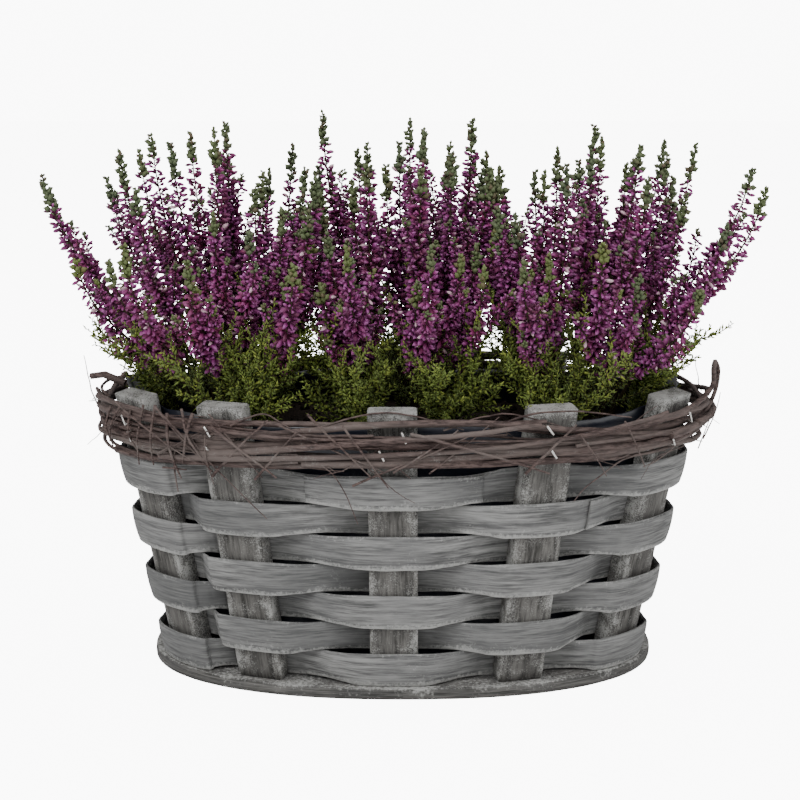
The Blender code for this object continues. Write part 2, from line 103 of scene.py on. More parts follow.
# Heathers
PLANTS = {
    "left": {
        "root": -0.094,
        "crown": -0.114,
        "half": (0.068, 0.082),
        "low": {5: -0.138, 6: -0.107, 7: -0.055},
        "seed": 11,
    },
    "middle": {
        "root": 0.0,
        "crown": 0.0,
        "half": (0.050, 0.082),
        "low": {5: -0.028, 6: 0.014},
        "seed": 23,
    },
    "right": {
        "root": 0.094,
        "crown": 0.114,
        "half": (0.068, 0.082),
        "low": {5: 0.060, 6: 0.099},
        "seed": 37,
    },
}
# Steps from a plant's seed to the seeds of its tufts, low spikes and florets
TUFT_DRAW = 100
LOW_DRAW = 300
FLORET_DRAW = 500
SPRAYS_ROUND = 7
SPIKES_PER_SPRAY = 3
TRUNK_RING = (0.021, 0.026)
TRUNK_RADIUS = 0.0019
TRUNK_ABOVE = 0.011
SOIL_HOLE_DEPTH = 0.014
ROOT_SINK = 0.005
MIDDLE_REACH = 0.2
ROUND_PLACES = ((0.54, 0.0), (0.93, -0.22), (0.93, 0.22))
PLACE_WANDER = (0.04, 0.05)
TIP_HEIGHT = 0.290
FRONT_DROP = 0.068
SIDE_DROP = 0.026
HEIGHT_WANDER = (-0.014, 0.012)
END_FROM = (0.9, 0.8)
END_REACH = 0.018
CROWN_SQUARE = 0.6
LOW_FRONT = -0.090
LOW_HEIGHTS = (0.231, 0.245)
LEAN_OUT = 0.6
LEAN_FRONT = 0.7
LEAN_UP = 0.36
STEM_SPREAD = 0.36
STEM_RISE = 0.42
TIP_RUN = 0.34
FLORETS_FROM = 0.36
FLORETS_TO = 0.84
SHARE_WANDER = 0.03
# Tips of spikes that fill the seams between the plants, by plant and spray
FILL_TIPS = {
    "left": {
        0: ((-0.054, 0.004, 0.238), (-0.051, 0.058, 0.238)),
        1: ((-0.046, 0.018, 0.276), (-0.050, 0.050, 0.268)),
        2: ((-0.097, 0.012, 0.301),),
        7: ((-0.047, -0.018, 0.272), (-0.049, -0.050, 0.262), (-0.060, -0.068, 0.224)),
    },
    "middle": {
        0: ((0.049, -0.028, 0.240), (0.047, 0.034, 0.246)),
        1: ((0.038, 0.012, 0.301),),
        3: ((-0.044, 0.016, 0.298),),
        4: ((-0.049, -0.030, 0.238), (-0.046, 0.032, 0.248)),
        5: ((-0.041, -0.070, 0.222),),
        7: ((0.041, -0.072, 0.226),),
    },
    "right": {
        1: ((0.150, 0.020, 0.262),),
        2: ((0.100, 0.040, 0.276), (0.126, 0.034, 0.268)),
        3: ((0.050, 0.050, 0.270), (0.051, 0.060, 0.236)),
        4: ((0.046, 0.018, 0.280), (0.047, -0.018, 0.266), (0.053, 0.004, 0.238)),
        5: ((0.049, -0.050, 0.258), (0.061, -0.068, 0.222)),
    },
}
# How far a fill tip's height wanders, and how much it leans out with its place
FILL_WANDER = 0.005
FILL_LEAN = 0.3
# Tips of shoots that fill the gaps between the tufts, by plant and tuft
FILL_SHOOTS = {
    "left": {
        0: ((-0.053, -0.034, 0.196), (-0.046, -0.050, 0.186), (-0.122, -0.078, 0.186)),
        1: ((-0.150, -0.056, 0.190), (-0.138, -0.068, 0.200), (-0.166, -0.034, 0.196)),
        2: ((-0.051, 0.030, 0.206), (-0.046, 0.006, 0.208)),
    },
    "middle": {0: ((-0.026, -0.086, 0.180),), 1: ((0.018, -0.086, 0.182),)},
    "right": {
        0: ((0.053, -0.034, 0.196), (0.046, -0.050, 0.186), (0.112, -0.080, 0.186)),
        1: ((0.146, -0.058, 0.190), (0.164, -0.034, 0.192)),
        2: ((0.051, 0.030, 0.206), (0.046, 0.006, 0.208)),
    },
}
TUFT_HEADINGS = {"left": (-80, 180, 80), "middle": (-124, -56, 90), "right": (-100, 0, 100)}
TUFT_RING = (0.034, 0.046)
TUFT_FAN = 1.7
TUFT_LENGTH = 0.036
TUFT_LENGTH_WANDER = (-0.004, 0.006)
TUFT_RISES = (0.052, 0.032)
TUFT_STRETCH = 1.1
TUFT_TRUNK = 0.6
SHOOTS_PER_TUFT = 5
SHOOT_RISE = 0.012
SHOOT_RUN = 0.2
SHOOT_BEND = (0.3, 0.003)
INSIDE_RIM = 0.0135

# Kinds of stretch along a stem
WOOD, BUDS, LEAVES, GREEN = 0, 1, 2, 3
STEM_SIDES = 4
# Steps from a tree's seed to the seeds of its nods and of its tones
NOD_DRAW, TONE_DRAW = 3.0, 7.0


def color_setting(name, description, default):
    return FloatVectorProperty(name=name, description=description, subtype="COLOR", size=3, default=default)


def length_setting(name, description, default):
    return FloatProperty(name=name, description=description, unit="LENGTH", default=default)


def angle_setting(name, description, default):
    return FloatProperty(name=name, description=description, subtype="ANGLE", default=default)


class BasketLook(bpy.types.PropertyGroup):
    """Sizes and colours of the basket."""

    strip_color: color_setting("Strip", "Grey of the chip strips", (0.168, 0.168, 0.168))
    wash_color: color_setting("Whitewash", "Pale rubbed wash", (0.50, 0.50, 0.48))
    stake_color: color_setting("Stake", "Dark sawn wood", (0.084, 0.081, 0.077))
    board_color: color_setting("Board", "Dark sawn wood of the base", (0.074, 0.073, 0.072))
    twig_color: color_setting("Twig", "Brown-purple bark", (0.062, 0.035, 0.031))
    liner_color: color_setting("Liner", "Blue-black film", (0.008, 0.010, 0.018))
    soil_color: color_setting("Soil", "Dark potting mix", (0.018, 0.011, 0.007))
    strip_cup: length_setting("Strip cup", "How far a strip's middle stands out", 0.0007)
    staple_length: length_setting("Staple", "Length of a staple's crown", 0.0062)
    loose_twigs: IntProperty(name="Loose twigs", description="Thin cut twigs in the border", default=64)


class HeatherLook(bpy.types.PropertyGroup):
    """Sizes and colours of the heathers."""

    bud_color: color_setting("Bud", "Magenta-purple of a bud", (0.38, 0.052, 0.29))
    # A bud's dark foot is painted shade, and its pale tip is partly its own pink and partly a painted
    # highlight; the dark colour also darkens some buds at random
    bud_tip_pink_and_highlight: color_setting("Bud tip", "Pink of a bud's tip", (0.72, 0.28, 0.66))
    bud_dark_and_foot_shade: color_setting("Bud foot", "Dark wine at a bud's foot", (0.11, 0.013, 0.06))
    leaf_color: color_setting("Leaf", "Fresh green", (0.160, 0.215, 0.042))
    leaf_dark: color_setting("Old leaf", "Dark grey-green", (0.040, 0.060, 0.022))
    tip_color: color_setting("Spike tip", "Grey-green tips", (0.062, 0.088, 0.046))
    stem_color: color_setting("Stem", "Brown-green stem", (0.060, 0.045, 0.022))
    bud_length: length_setting("Bud length", "Length of one bud", 0.0042)
    bud_stalk: length_setting("Bud stalk", "Stem to the bud's foot", 0.0026)
    bud_pitch: length_setting("Bud pitch", "Way along the stem from one bud to the next", 0.00060)
    bud_sway: angle_setting("Bud sway", "Most that a bud nods up or down", math.radians(40))
    tip_length: length_setting("Tip scale", "Length of a tip's scale", 0.0042)
    tip_pitch: length_setting("Tip pitch", "Way along a tip from one scale to the next", 0.0006)
    leaf_length: length_setting("Leaf length", "Length of a scale leaf", 0.0039)
    leaf_pitch: length_setting("Leaf pitch", "Way along the shoot from one leaf to the next", 0.00078)


class StageLook(bpy.types.PropertyGroup):
    """Floor, light and camera."""

    floor_color: color_setting("Floor", "Plain pale floor", (0.86, 0.86, 0.86))
    camera_place: FloatVectorProperty(
        name="Camera",
        description="Where the camera stands",
        subtype="TRANSLATION",
        default=(-0.0016, -0.928, 0.345),
    )
    camera_pitch: angle_setting("Camera pitch", "How far the camera looks down", math.radians(12.18))
    lens: FloatProperty(name="Lens", description="Millimetres of lens on a 36 mm sensor", default=76.4)
    key_power: FloatProperty(name="Key light", description="Watts of the big soft light", default=34.0)
    sky_strength: FloatProperty(name="Sky", description="Strength of the even white sky", default=0.5)
    white_glow: FloatProperty(name="White glow", description="Brightness floor and sky show", default=9.0)


def look(name):
    return getattr(bpy.context.scene, name)


# Oval and layout


def sign_power(value, power):
    return math.copysign(abs(value) ** power, value)


def half_axes(z):
    """Half length and half width of the flaring oval at height z."""
    share = z / BASKET_HEIGHT
    return tuple(low + (high - low) * share for low, high in zip(BASE_HALF, TOP_HALF))


def normal_at(turn, z, half=None):
    """Level direction that points straight out of the oval."""
    a, b = half or half_axes(z)
    x = sign_power(math.sin(turn), 2 / OVAL_POWER)
    y = -sign_power(math.cos(turn), 2 / OVAL_POWER)
    steep = OVAL_POWER - 1
    return Vector((sign_power(x, steep) / a, sign_power(y, steep) / b, 0)).normalized()


def oval(turn, z, out=0.0, half=None):
    """Point of the oval at angle turn from the front, moved outwards by out."""
    a, b = half or half_axes(z)
    x = a * sign_power(math.sin(turn), 2 / OVAL_POWER)
    y = -b * sign_power(math.cos(turn), 2 / OVAL_POWER)
    return Vector((x, y, z)) + normal_at(turn, z, half) * out


def turn_at_arc(turn, arc, z):
    """Angle reached by walking arc metres round the oval from turn."""
    step = math.copysign(WALK_STEP, arc)
    walked = 0.0
    while walked < abs(arc):
        before = oval(turn, z)
        turn += step
        walked += (oval(turn, z) - before).length
    return turn


def turn_at_x(x, z):
    """Angle of the front point of the oval at x."""
    return math.asin(sign_power(x / half_axes(z)[0], OVAL_POWER / 2))


def stake_turns():
    """The ten stakes' angles, once round from the middle one in front."""
    front = [math.asin(sign_power(share, OVAL_POWER / 2)) for share in FRONT_SHARES]
    back = [math.pi - math.asin(sign_power(share, OVAL_POWER / 2)) for share in BACK_SHARES]
    middle = len(front) // 2
    return front[middle:] + back + [turn + 2 * math.pi for turn in front[:middle]]


def strip_stations(row, turns):
    """Height of one weaver and its (angle, offset, half height) all the way round."""
    z = BOARD_THICK + TOUCH + STRIP_HALF + row * ROW_PITCH
    clear = STAKE_THICK / 2 + TOUCH + STRIP_THICK / 2
    edges = []
    for turn in turns:
        edges.append((turn_at_arc(turn, -STAKE_EDGE_REACH, z), turn_at_arc(turn, STAKE_EDGE_REACH, z)))
    stations = []
    for index, turn in enumerate(turns):
        side = 1 if (index + row) % 2 == 0 else -1
        middle, face = oval(turn, z), normal_at(turn, z)
        for edge in edges[index]:
            drop = (oval(edge, z) - middle).dot(face)
            out = (side * clear - drop) / normal_at(edge, z).dot(face)
            stations.append((edge, out, STRIP_HALF))
        leave = edges[index][1]
        last = index == len(turns) - 1
        arrive = edges[0][0] + 2 * math.pi if last else edges[index + 1][0]
        for share, swing, half in BETWEEN_STAKES:
            stations.append((leave + (arrive - leave) * share, side * swing * clear, half))
    return z, stations


def bezier(path, share):
    start, first, second, end = path
    rest = 1 - share
    bends = first * (3 * rest**2 * share) + second * (3 * rest * share**2)
    return start * rest**3 + bends + end * share**3


def spray_layout(plant):
    """Foot of each flowering spray's trunk with its (tip, heading at the tip) pairs."""
    rng = random.Random(plant["seed"])
    low_rng = random.Random(plant["seed"] + LOW_DRAW)
    root, crown, (half_x, half_y) = plant["root"], plant["crown"], plant["half"]
    outward = 1 if crown > root else -1
    layout = []
    for spray in range(SPRAYS_ROUND + 1):
        heading = 2 * math.pi * (spray - 0.5) / SPRAYS_ROUND
        foot = Vector((root, 0, 0))
        places = [(MIDDLE_REACH, 2 * math.pi * part / SPIKES_PER_SPRAY) for part in range(SPIKES_PER_SPRAY)]
        if spray:
            foot += Vector((TRUNK_RING[0] * math.cos(heading), TRUNK_RING[1] * math.sin(heading), 0))
            places = ROUND_PLACES
        tips = []
        for reach, swing in places:
            far = reach + rng.uniform(-PLACE_WANDER[0], PLACE_WANDER[0])
            angle = heading + swing + rng.uniform(-PLACE_WANDER[1], PLACE_WANDER[1])
            x = crown + half_x * far * sign_power(math.cos(angle), CROWN_SQUARE)
            y = half_y * far * math.sin(angle)
            front = max(0.0, -math.sin(angle)) * far
            z = TIP_HEIGHT - FRONT_DROP * front**2 - SIDE_DROP * abs(math.cos(angle)) * far
            z += rng.uniform(*HEIGHT_WANDER)
            if crown != root and outward * math.cos(angle) > END_FROM[0] and far > END_FROM[1]:
                x += outward * END_REACH
            lean = Vector((x - root, LEAN_FRONT * y, 0)) * LEAN_OUT + Vector((0, 0, LEAN_UP))
            tips.append((Vector((x, y, z)), lean.normalized()))
        if spray in plant["low"]:
            tip = Vector((plant["low"][spray], LOW_FRONT, low_rng.uniform(*LOW_HEIGHTS)))
            tips.append((tip, Vector((0, 0, 1))))
        layout.append((foot, tips))
    return layout


def keep_inside(point):
    """Draw a point in towards the middle of the basket until it clears the rim."""
    half = [size - INSIDE_RIM for size in half_axes(LINER_TOP)]
    reach = (abs(point.x) / half[0]) ** OVAL_POWER + (abs(point.y) / half[1]) ** OVAL_POWER
    shrink = min(1.0, reach ** (-1 / OVAL_POWER))
    return Vector((point.x * shrink, point.y * shrink, point.z))


def tuft_layout(plant, headings):
    """Foot of each low green tuft with the tips of its shoots."""
    rng = random.Random(plant["seed"] + TUFT_DRAW)
    layout = []
    for degrees in headings:
        heading = math.radians(degrees)
        aside = Vector((TUFT_RING[0] * math.cos(heading), TUFT_RING[1] * math.sin(heading), 0))
        foot = Vector((plant["root"], 0, 0)) + aside
        tips = []
        for shoot in range(SHOOTS_PER_TUFT):
            share = shoot / (SHOOTS_PER_TUFT - 1) - 0.5
            angle = heading + TUFT_FAN * share + rng.uniform(-PLACE_WANDER[1], PLACE_WANDER[1])
            length = TUFT_LENGTH + rng.uniform(*TUFT_LENGTH_WANDER)
            flat = Vector((TUFT_STRETCH * math.cos(angle), math.sin(angle), 0)) * length
            up = Vector((0, 0, SOIL_TOP + TUFT_RISES[shoot % 2]))
            tips.append(keep_inside(foot + flat + up))
        layout.append((foot, tips))
    return layout


# Node helpers


def put(tree, kind, inputs=None, **settings):
    """New node with its settings, and its inputs linked or filled by name or number."""
    node = tree.nodes.new(kind)
    for name, value in settings.items():
        setattr(node, name, value)
    for key, value in (inputs or {}).items():
        if isinstance(value, bpy.types.NodeSocket):
            tree.links.new(value, node.inputs[key])
        else:
            node.inputs[key].default_value = value
    return node


def new_group(name, kind, inputs, outputs):
    """Node group with its named sockets, as (tree, group input node, group output node)."""
    tree = bpy.data.node_groups.new(name, kind)
    for label, value, *default in inputs:
        socket = tree.interface.new_socket(name=label, in_out="INPUT", socket_type="NodeSocket" + value)
        if default:
            socket.default_value = default[0]
    for label, value in outputs:
        tree.interface.new_socket(name=label, in_out="OUTPUT", socket_type="NodeSocket" + value)
    return tree, tree.nodes.new("NodeGroupInput"), tree.nodes.new("NodeGroupOutput")


def socket_id(tree, name):
    """Identifier of a group input, by which a modifier's value is set."""
    for item in tree.interface.items_tree:
        if item.item_type == "SOCKET" and item.in_out == "INPUT" and item.name == name:
            return item.identifier
    raise KeyError(name)


def math_node(tree, operation, first, second):
    return put(tree, "ShaderNodeMath", {0: first, 1: second}, operation=operation).outputs[0]


def times(tree, first, second):
    return math_node(tree, "MULTIPLY", first, second)


def plus(tree, first, second):
    return math_node(tree, "ADD", first, second)


def mix_color(tree, factor, first, second):
    """Colour between two, each a socket or (red, green, blue), by a socket or a number."""
    node = put(tree, "ShaderNodeMix", data_type="RGBA")
    for socket, value in zip((node.inputs[0], node.inputs[6], node.inputs[7]), (factor, first, second)):
        if isinstance(value, bpy.types.NodeSocket):
            tree.links.new(value, socket)
        elif isinstance(value, (int, float)):
            socket.default_value = value
        else:
            socket.default_value = (*value, 1.0)
    return node.outputs[2]


def ramp(tree, value, low, high):
    """Smooth step of a value from 0 at low to 1 at high."""
    inputs = {"Value": value, "From Min": low, "From Max": high}
    return put(tree, "ShaderNodeMapRange", inputs, interpolation_type="SMOOTHSTEP").outputs["Result"]


def partly(tree, value, low, high, share):
    """Smooth step of a value that stops at a share."""
    return times(tree, ramp(tree, value, low, high), share)


def noise_value(tree, vector, scale, detail=4.0, roughness=0.6):
    inputs = {"Vector": vector, "Scale": scale, "Detail": detail, "Roughness": roughness}
    return put(tree, "ShaderNodeTexNoise", inputs).outputs["Fac"]


def painted(tree, name):
    """Value that the piece's mesh carries from place to place."""
    return put(tree, "ShaderNodeAttribute", attribute_name=name).outputs["Fac"]


def on_object(tree):
    return put(tree, "ShaderNodeTexCoord").outputs["Object"]


def along_piece(tree):
    return put(tree, "ShaderNodeUVMap", uv_map="Along").outputs["UV"]


def use_group(tree, group, **inputs):
    return put(tree, "ShaderNodeGroup", inputs, node_tree=group).outputs


# Shared effects

# Shares of the fine and the broad fibres in the grain, and how much coarser the broad ones are
FINE_SHARE, BROAD_SHARE, BROAD_SCALE = 0.55, 0.45, 0.28
PATCH_SCALE = 45.0
# How much the clouds, the edges and the amount weigh in the whitewash, and how coarse its clouds are
CLOUD_WEIGHT, EDGE_WEIGHT, AMOUNT_WEIGHT, CLOUD_SCALE = 0.55, 0.30, 0.5, 0.09


def grain_group():
    """Long fibres along the vector's X: streaks, patches and a height."""
    inputs = (("Vector", "Vector"), ("Stretch", "Float", 14.0), ("Fineness", "Float", 900.0))
    outputs = (("Streaks", "Float"), ("Patches", "Float"), ("Height", "Float"))
    tree, given, result = new_group("Wood grain", "ShaderNodeTree", inputs, outputs)
    vector, fineness = given.outputs["Vector"], given.outputs["Fineness"]
    parts = put(tree, "ShaderNodeSeparateXYZ", {"Vector": vector}).outputs
    slow = math_node(tree, "DIVIDE", parts["X"], given.outputs["Stretch"])
    drawn = put(tree, "ShaderNodeCombineXYZ", {"X": slow, "Y": parts["Y"], "Z": parts["Z"]}).outputs[0]
    fine = noise_value(tree, drawn, fineness, 3.0, 0.65)
    broad = noise_value(tree, drawn, times(tree, fineness, BROAD_SCALE), 2.0, 0.5)
    streaks = plus(tree, times(tree, fine, FINE_SHARE), times(tree, broad, BROAD_SHARE))
    patches = noise_value(tree, vector, PATCH_SCALE, 3.0, 0.55)
    tree.links.new(ramp(tree, streaks, 0.36, 0.64), result.inputs["Streaks"])
    tree.links.new(ramp(tree, patches, 0.35, 0.68), result.inputs["Patches"])
    tree.links.new(streaks, result.inputs["Height"])
    return tree


def wash_group():
    """Rubbed whitewash: a speckled mask that grows where Edge is high."""
    inputs = (
        ("Vector", "Vector"),
        ("Amount", "Float", 0.4),
        ("Edge", "Float", 0.0),
        ("Scale", "Float", 700.0),
    )
    tree, given, result = new_group("Whitewash", "ShaderNodeTree", inputs, (("Mask", "Float"),))
    vector, scale = given.outputs["Vector"], given.outputs["Scale"]
    level = noise_value(tree, vector, scale, 5.0, 0.75)
    cloud = noise_value(tree, vector, times(tree, scale, CLOUD_SCALE), 2.0)
    amount, edge = given.outputs["Amount"], given.outputs["Edge"]
    for value, weight in ((cloud, CLOUD_WEIGHT), (edge, EDGE_WEIGHT), (amount, AMOUNT_WEIGHT)):
        level = plus(tree, level, times(tree, value, weight))
    tree.links.new(ramp(tree, level, 0.96, 1.24), result.inputs["Mask"])
    return tree


# Finishes

STRIP_DARK, STRIP_GREY = (0.030, 0.030, 0.029), (0.075, 0.077, 0.077)
SAWN_DARK, SAWN_LIGHT = (0.012, 0.011, 0.009), (0.29, 0.28, 0.26)
BARK_DARK, BARK_LIGHT, BARK_GREY = (0.012, 0.007, 0.007), (0.25, 0.19, 0.17), (0.19, 0.165, 0.15)
BARK_STRETCH = (0.16, 0.16, 1.0)
BUD_WARM, BUD_OLD, BUD_PALE = (0.30, 0.030, 0.085), (0.17, 0.055, 0.085), (0.78, 0.55, 0.60)
LEAF_YELLOW = (0.34, 0.38, 0.06)
TIP_YOUNG, TIP_PALE, TIP_RED = (0.15, 0.19, 0.022), (0.17, 0.19, 0.10), (0.14, 0.04, 0.05)
STEM_DARK = (0.010, 0.008, 0.005)
FILM_SCUFF = (0.024, 0.025, 0.029)
SOIL_FIBRE = (0.075, 0.048, 0.030)
WIRE_DARK, WIRE_BRIGHT = (0.55, 0.53, 0.50), (0.92, 0.90, 0.87)


def new_material(name, roughness, specular):
    """Material with its own Principled shader, as (material, tree, shader)."""
    material = bpy.data.materials.new(name)
    material.use_nodes = True
    shader = material.node_tree.nodes["Principled BSDF"]
    shader.inputs["Roughness"].default_value = roughness
    shader.inputs["Specular IOR Level"].default_value = specular
    return material, material.node_tree, shader


def finish(material, color, bump=None):
    """The material with its colour and, as (height, strength, distance), its bump."""
    tree = material.node_tree
    shader = tree.nodes["Principled BSDF"]
    tree.links.new(color, shader.inputs["Base Color"])
    if bump:
        inputs = dict(zip(("Height", "Strength", "Distance"), bump))
        tree.links.new(put(tree, "ShaderNodeBump", inputs).outputs["Normal"], shader.inputs["Normal"])
    return material


def strip_material(groups):
    """Weathered chip wood: fibres along the strip, pale rubbed edges."""
    basket = look("basket_look")
    material, tree, _ = new_material("Chip strip", 0.72, 0.3)
    along = along_piece(tree)
    grain = use_group(tree, groups["grain"], Vector=along, Stretch=16.0, Fineness=1100.0)
    wash = use_group(tree, groups["wash"], Vector=along, Amount=0.12, Edge=painted(tree, "edge"), Scale=520.0)
    dark = mix_color(tree, 0.7, basket.strip_color, STRIP_DARK)
    light = mix_color(tree, 0.42, basket.strip_color, basket.wash_color)
    color = mix_color(tree, grain["Streaks"], dark, light)
    color = mix_color(tree, times(tree, grain["Patches"], 0.45), color, basket.strip_color)
    color = mix_color(tree, partly(tree, painted(tree, "tone"), 0.25, 0.85, 0.6), color, STRIP_GREY)
    color = mix_color(tree, times(tree, wash["Mask"], 0.62), color, basket.wash_color)
    return finish(material, color, (grain["Height"], 0.5, 0.0004))


def sawn_material(groups, name, base_color, wash_amount, wash_scale):
    """Dark sawn wood with a speckle of whitewash, heavier on edges and cut ends."""
    material, tree, _ = new_material(name, 0.85, 0.25)
    grain = use_group(tree, groups["grain"], Vector=along_piece(tree), Stretch=9.0, Fineness=700.0)
    place, edge = on_object(tree), painted(tree, "edge")
    wash = use_group(tree, groups["wash"], Vector=place, Amount=wash_amount, Edge=edge, Scale=wash_scale)
    dark = mix_color(tree, 0.72, base_color, SAWN_DARK)
    light = mix_color(tree, 0.42, base_color, SAWN_LIGHT)
    color = mix_color(tree, grain["Streaks"], dark, light)
    color = mix_color(tree, times(tree, grain["Patches"], 0.5), color, base_color)
    color = mix_color(tree, times(tree, wash["Mask"], 0.7), color, look("basket_look").wash_color)
    rough = plus(tree, grain["Height"], times(tree, wash["Mask"], 0.3))
    return finish(material, color, (rough, 0.7, 0.0006))


def bark_material(groups):
    """Thin brown-purple bark, greyer and rubbed pale where its tone is high."""
    basket = look("basket_look")
    material, tree, _ = new_material("Twig bark", 0.7, 0.35)
    place, tone = on_object(tree), painted(tree, "tone")
    wash = use_group(tree, groups["wash"], Vector=place, Amount=0.0, Edge=times(tree, tone, 0.5), Scale=420.0)
    drawn = put(tree, "ShaderNodeVectorMath", {0: place, 1: BARK_STRETCH}, operation="MULTIPLY").outputs[0]
    knots = noise_value(tree, drawn, 900.0, 4.0, 0.7)
    dark = mix_color(tree, 0.6, basket.twig_color, BARK_DARK)
    light = mix_color(tree, 0.3, basket.twig_color, BARK_LIGHT)
    grey = mix_color(tree, 0.6, basket.twig_color, BARK_GREY)
    color = mix_color(tree, ramp(tree, knots, 0.38, 0.62), dark, light)
    color = mix_color(tree, partly(tree, tone, 0.3, 0.9, 0.75), color, grey)
    color = mix_color(tree, times(tree, wash["Mask"], 0.4), color, basket.wash_color)
    return finish(material, color, (knots, 0.6, 0.0005))


def bud_material():
    """Matte bud: dark foot that is painted shade, magenta middle, pink tip that is partly a painted
    highlight, each bud a little different.
    """
    heather = look("heather_look")
    material, tree, _ = new_material("Heather bud", 0.5, 0.35)
    along, tone, place = painted(tree, "along"), painted(tree, "tone"), on_object(tree)
    # Painted shade at the bud's foot, then a pale tip that is partly its own pink and partly a painted
    # highlight
    color = mix_color(tree, ramp(tree, along, 0.05, 0.5), heather.bud_dark_and_foot_shade, heather.bud_color)
    color = mix_color(tree, partly(tree, along, 0.45, 0.95, 0.75), color, heather.bud_tip_pink_and_highlight)
    color = mix_color(tree, partly(tree, tone, 0.0, 0.55, 0.55), heather.bud_dark_and_foot_shade, color)
    warm = partly(tree, noise_value(tree, place, 60.0, 2.0), 0.45, 0.7, 0.3)
    color = mix_color(tree, warm, color, BUD_WARM)
    old = partly(tree, noise_value(tree, place, 42.0, 3.0), 0.5, 0.72, 0.5)
    color = mix_color(tree, old, color, BUD_OLD)
    return finish(material, mix_color(tree, partly(tree, tone, 0.955, 0.975, 0.8), color, BUD_PALE))


def leaf_material():
    """Scale leaf: dark grey-green low in the plant, yellow-green on the freshest shoots."""
    heather = look("heather_look")
    material, tree, _ = new_material("Heather leaf", 0.5, 0.35)
    color = mix_color(tree, painted(tree, "fresh"), heather.leaf_dark, heather.leaf_color)
    yellow = partly(tree, painted(tree, "tone"), 0.55, 1.0, 0.5)
    return finish(material, mix_color(tree, yellow, color, LEAF_YELLOW))


def tip_material():
    """Plump closed tip of a spike: grey-green, yellow-green where fresh, some of its scales reddish."""
    material, tree, _ = new_material("Spike tip", 0.55, 0.3)
    color = mix_color(tree, painted(tree, "fresh"), look("heather_look").tip_color, TIP_YOUNG)
    color = mix_color(tree, partly(tree, painted(tree, "along"), 0.3, 1.0, 0.35), color, TIP_PALE)
    red = partly(tree, painted(tree, "tone"), 0.75, 1.0, 0.4)
    return finish(material, mix_color(tree, red, color, TIP_RED))


def stem_material():
    """Brown-green heather wood."""
    stem_color = look("heather_look").stem_color
    material, tree, _ = new_material("Heather stem", 0.8, 0.25)
    rough = noise_value(tree, on_object(tree), 900.0, 3.0)
    dark = mix_color(tree, 0.6, stem_color, STEM_DARK)
    return finish(material, mix_color(tree, rough, dark, stem_color), (rough, 0.5, 0.0003))


def film_material():
    """Blue-black plastic film with faint scuffs."""
    material, tree, shader = new_material("Liner film", 0.35, 0.5)
    scuff = noise_value(tree, on_object(tree), 120.0, 4.0)
    tree.links.new(plus(tree, times(tree, scuff, 0.3), 0.2), shader.inputs["Roughness"])
    color = mix_color(tree, ramp(tree, scuff, 0.5, 0.75), look("basket_look").liner_color, FILM_SCUFF)
    return finish(material, color, (scuff, 0.4, 0.001))


def soil_material():
    """Dark crumbly mix with pale fibres."""
    material, tree, _ = new_material("Potting soil", 0.95, 0.2)
    crumb = noise_value(tree, on_object(tree), 500.0, 5.0, 0.7)
    color = mix_color(tree, ramp(tree, crumb, 0.5, 0.75), look("basket_look").soil_color, SOIL_FIBRE)
    return finish(material, color, (crumb, 0.9, 0.0015))


def wire_material():
    """Bright galvanised staple wire."""
    material, tree, shader = new_material("Staple wire", 0.3, 0.5)
    shader.inputs["Metallic"].default_value = 1.0
    scratch = noise_value(tree, on_object(tree), 1500.0, 2.0)
    return finish(material, mix_color(tree, scratch, WIRE_DARK, WIRE_BRIGHT))


MATERIALS = {}


def make_materials():
    groups = {"grain": grain_group(), "wash": wash_group()}
    basket = look("basket_look")
    MATERIALS.update(
        strip=strip_material(groups),
        stake=sawn_material(groups, "Stake wood", basket.stake_color, 0.30, 1300.0),
        board=sawn_material(groups, "Board wood", basket.board_color, 0.22, 500.0),
        bark=bark_material(groups),
        bud=bud_material(),
        leaf=leaf_material(),
        tip=tip_material(),
        stem=stem_material(),
        film=film_material(),
        soil=soil_material(),
        wire=wire_material(),
    )


# Mesh helpers


def place_object(name, data):
    placed = bpy.data.objects.new(name, data)
    bpy.context.scene.collection.objects.link(placed)
    return placed


def new_piece(name, mesh, slot, *replaced):
    """Finished piece at the origin, riding on the body."""
    piece = place_object(name, mesh)
    for polygon in mesh.polygons:
        polygon.use_smooth = True
    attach(piece, BODY)
    if replaced:
        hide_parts(*replaced)
    return piece


def add_attribute(mesh, name, values, kind="FLOAT"):
    """Value, or vector given flat, that each point of the mesh carries."""
    layer = mesh.attributes.new(name, kind, "POINT")
    layer.data.foreach_set("vector" if kind == "FLOAT_VECTOR" else "value", values)


def mesh_from(body, name):
    """Mesh with the shape of a bmesh, which is freed."""
    mesh = bpy.data.meshes.new(name)
    body.to_mesh(mesh)
    body.free()
    return mesh


def flat_ends(piece):
    """Keep the many-sided end faces flat and the rest smooth."""
    for polygon in piece.data.polygons:
        polygon.use_smooth = len(polygon.vertices) == 4


def ring_sheet(name, loops, closed_ring, uvs, edges, tones):
    """Mesh from closed cross-section loops, with its Along UV and its edge and tone attributes."""
    mesh = bpy.data.meshes.new(name)
    count = len(loops[0])
    faces, corners = [], []
    for span in range(len(loops) if closed_ring else len(loops) - 1):
        low, high = span * count, (span + 1) % len(loops) * count
        for index in range(count):
            after = (index + 1) % count
            faces.append((low + index, high + index, high + after, low + after))
            near, far = uvs[span], uvs[span + 1]
            corners += [near[index], far[index], far[index + 1], near[index + 1]]
    if not closed_ring:
        for span, order in ((0, range(count)), (len(loops) - 1, range(count - 1, -1, -1))):
            faces.append([span * count + index for index in order])
            corners += [uvs[span][index] for index in order]
    mesh.from_pydata([point for loop in loops for point in loop], [], faces)
    layer = mesh.uv_layers.new(name="Along")
    layer.data.foreach_set("uv", [value for corner in corners for value in corner])
    add_attribute(mesh, "edge", edges)
    add_attribute(mesh, "tone", tones)
    return mesh


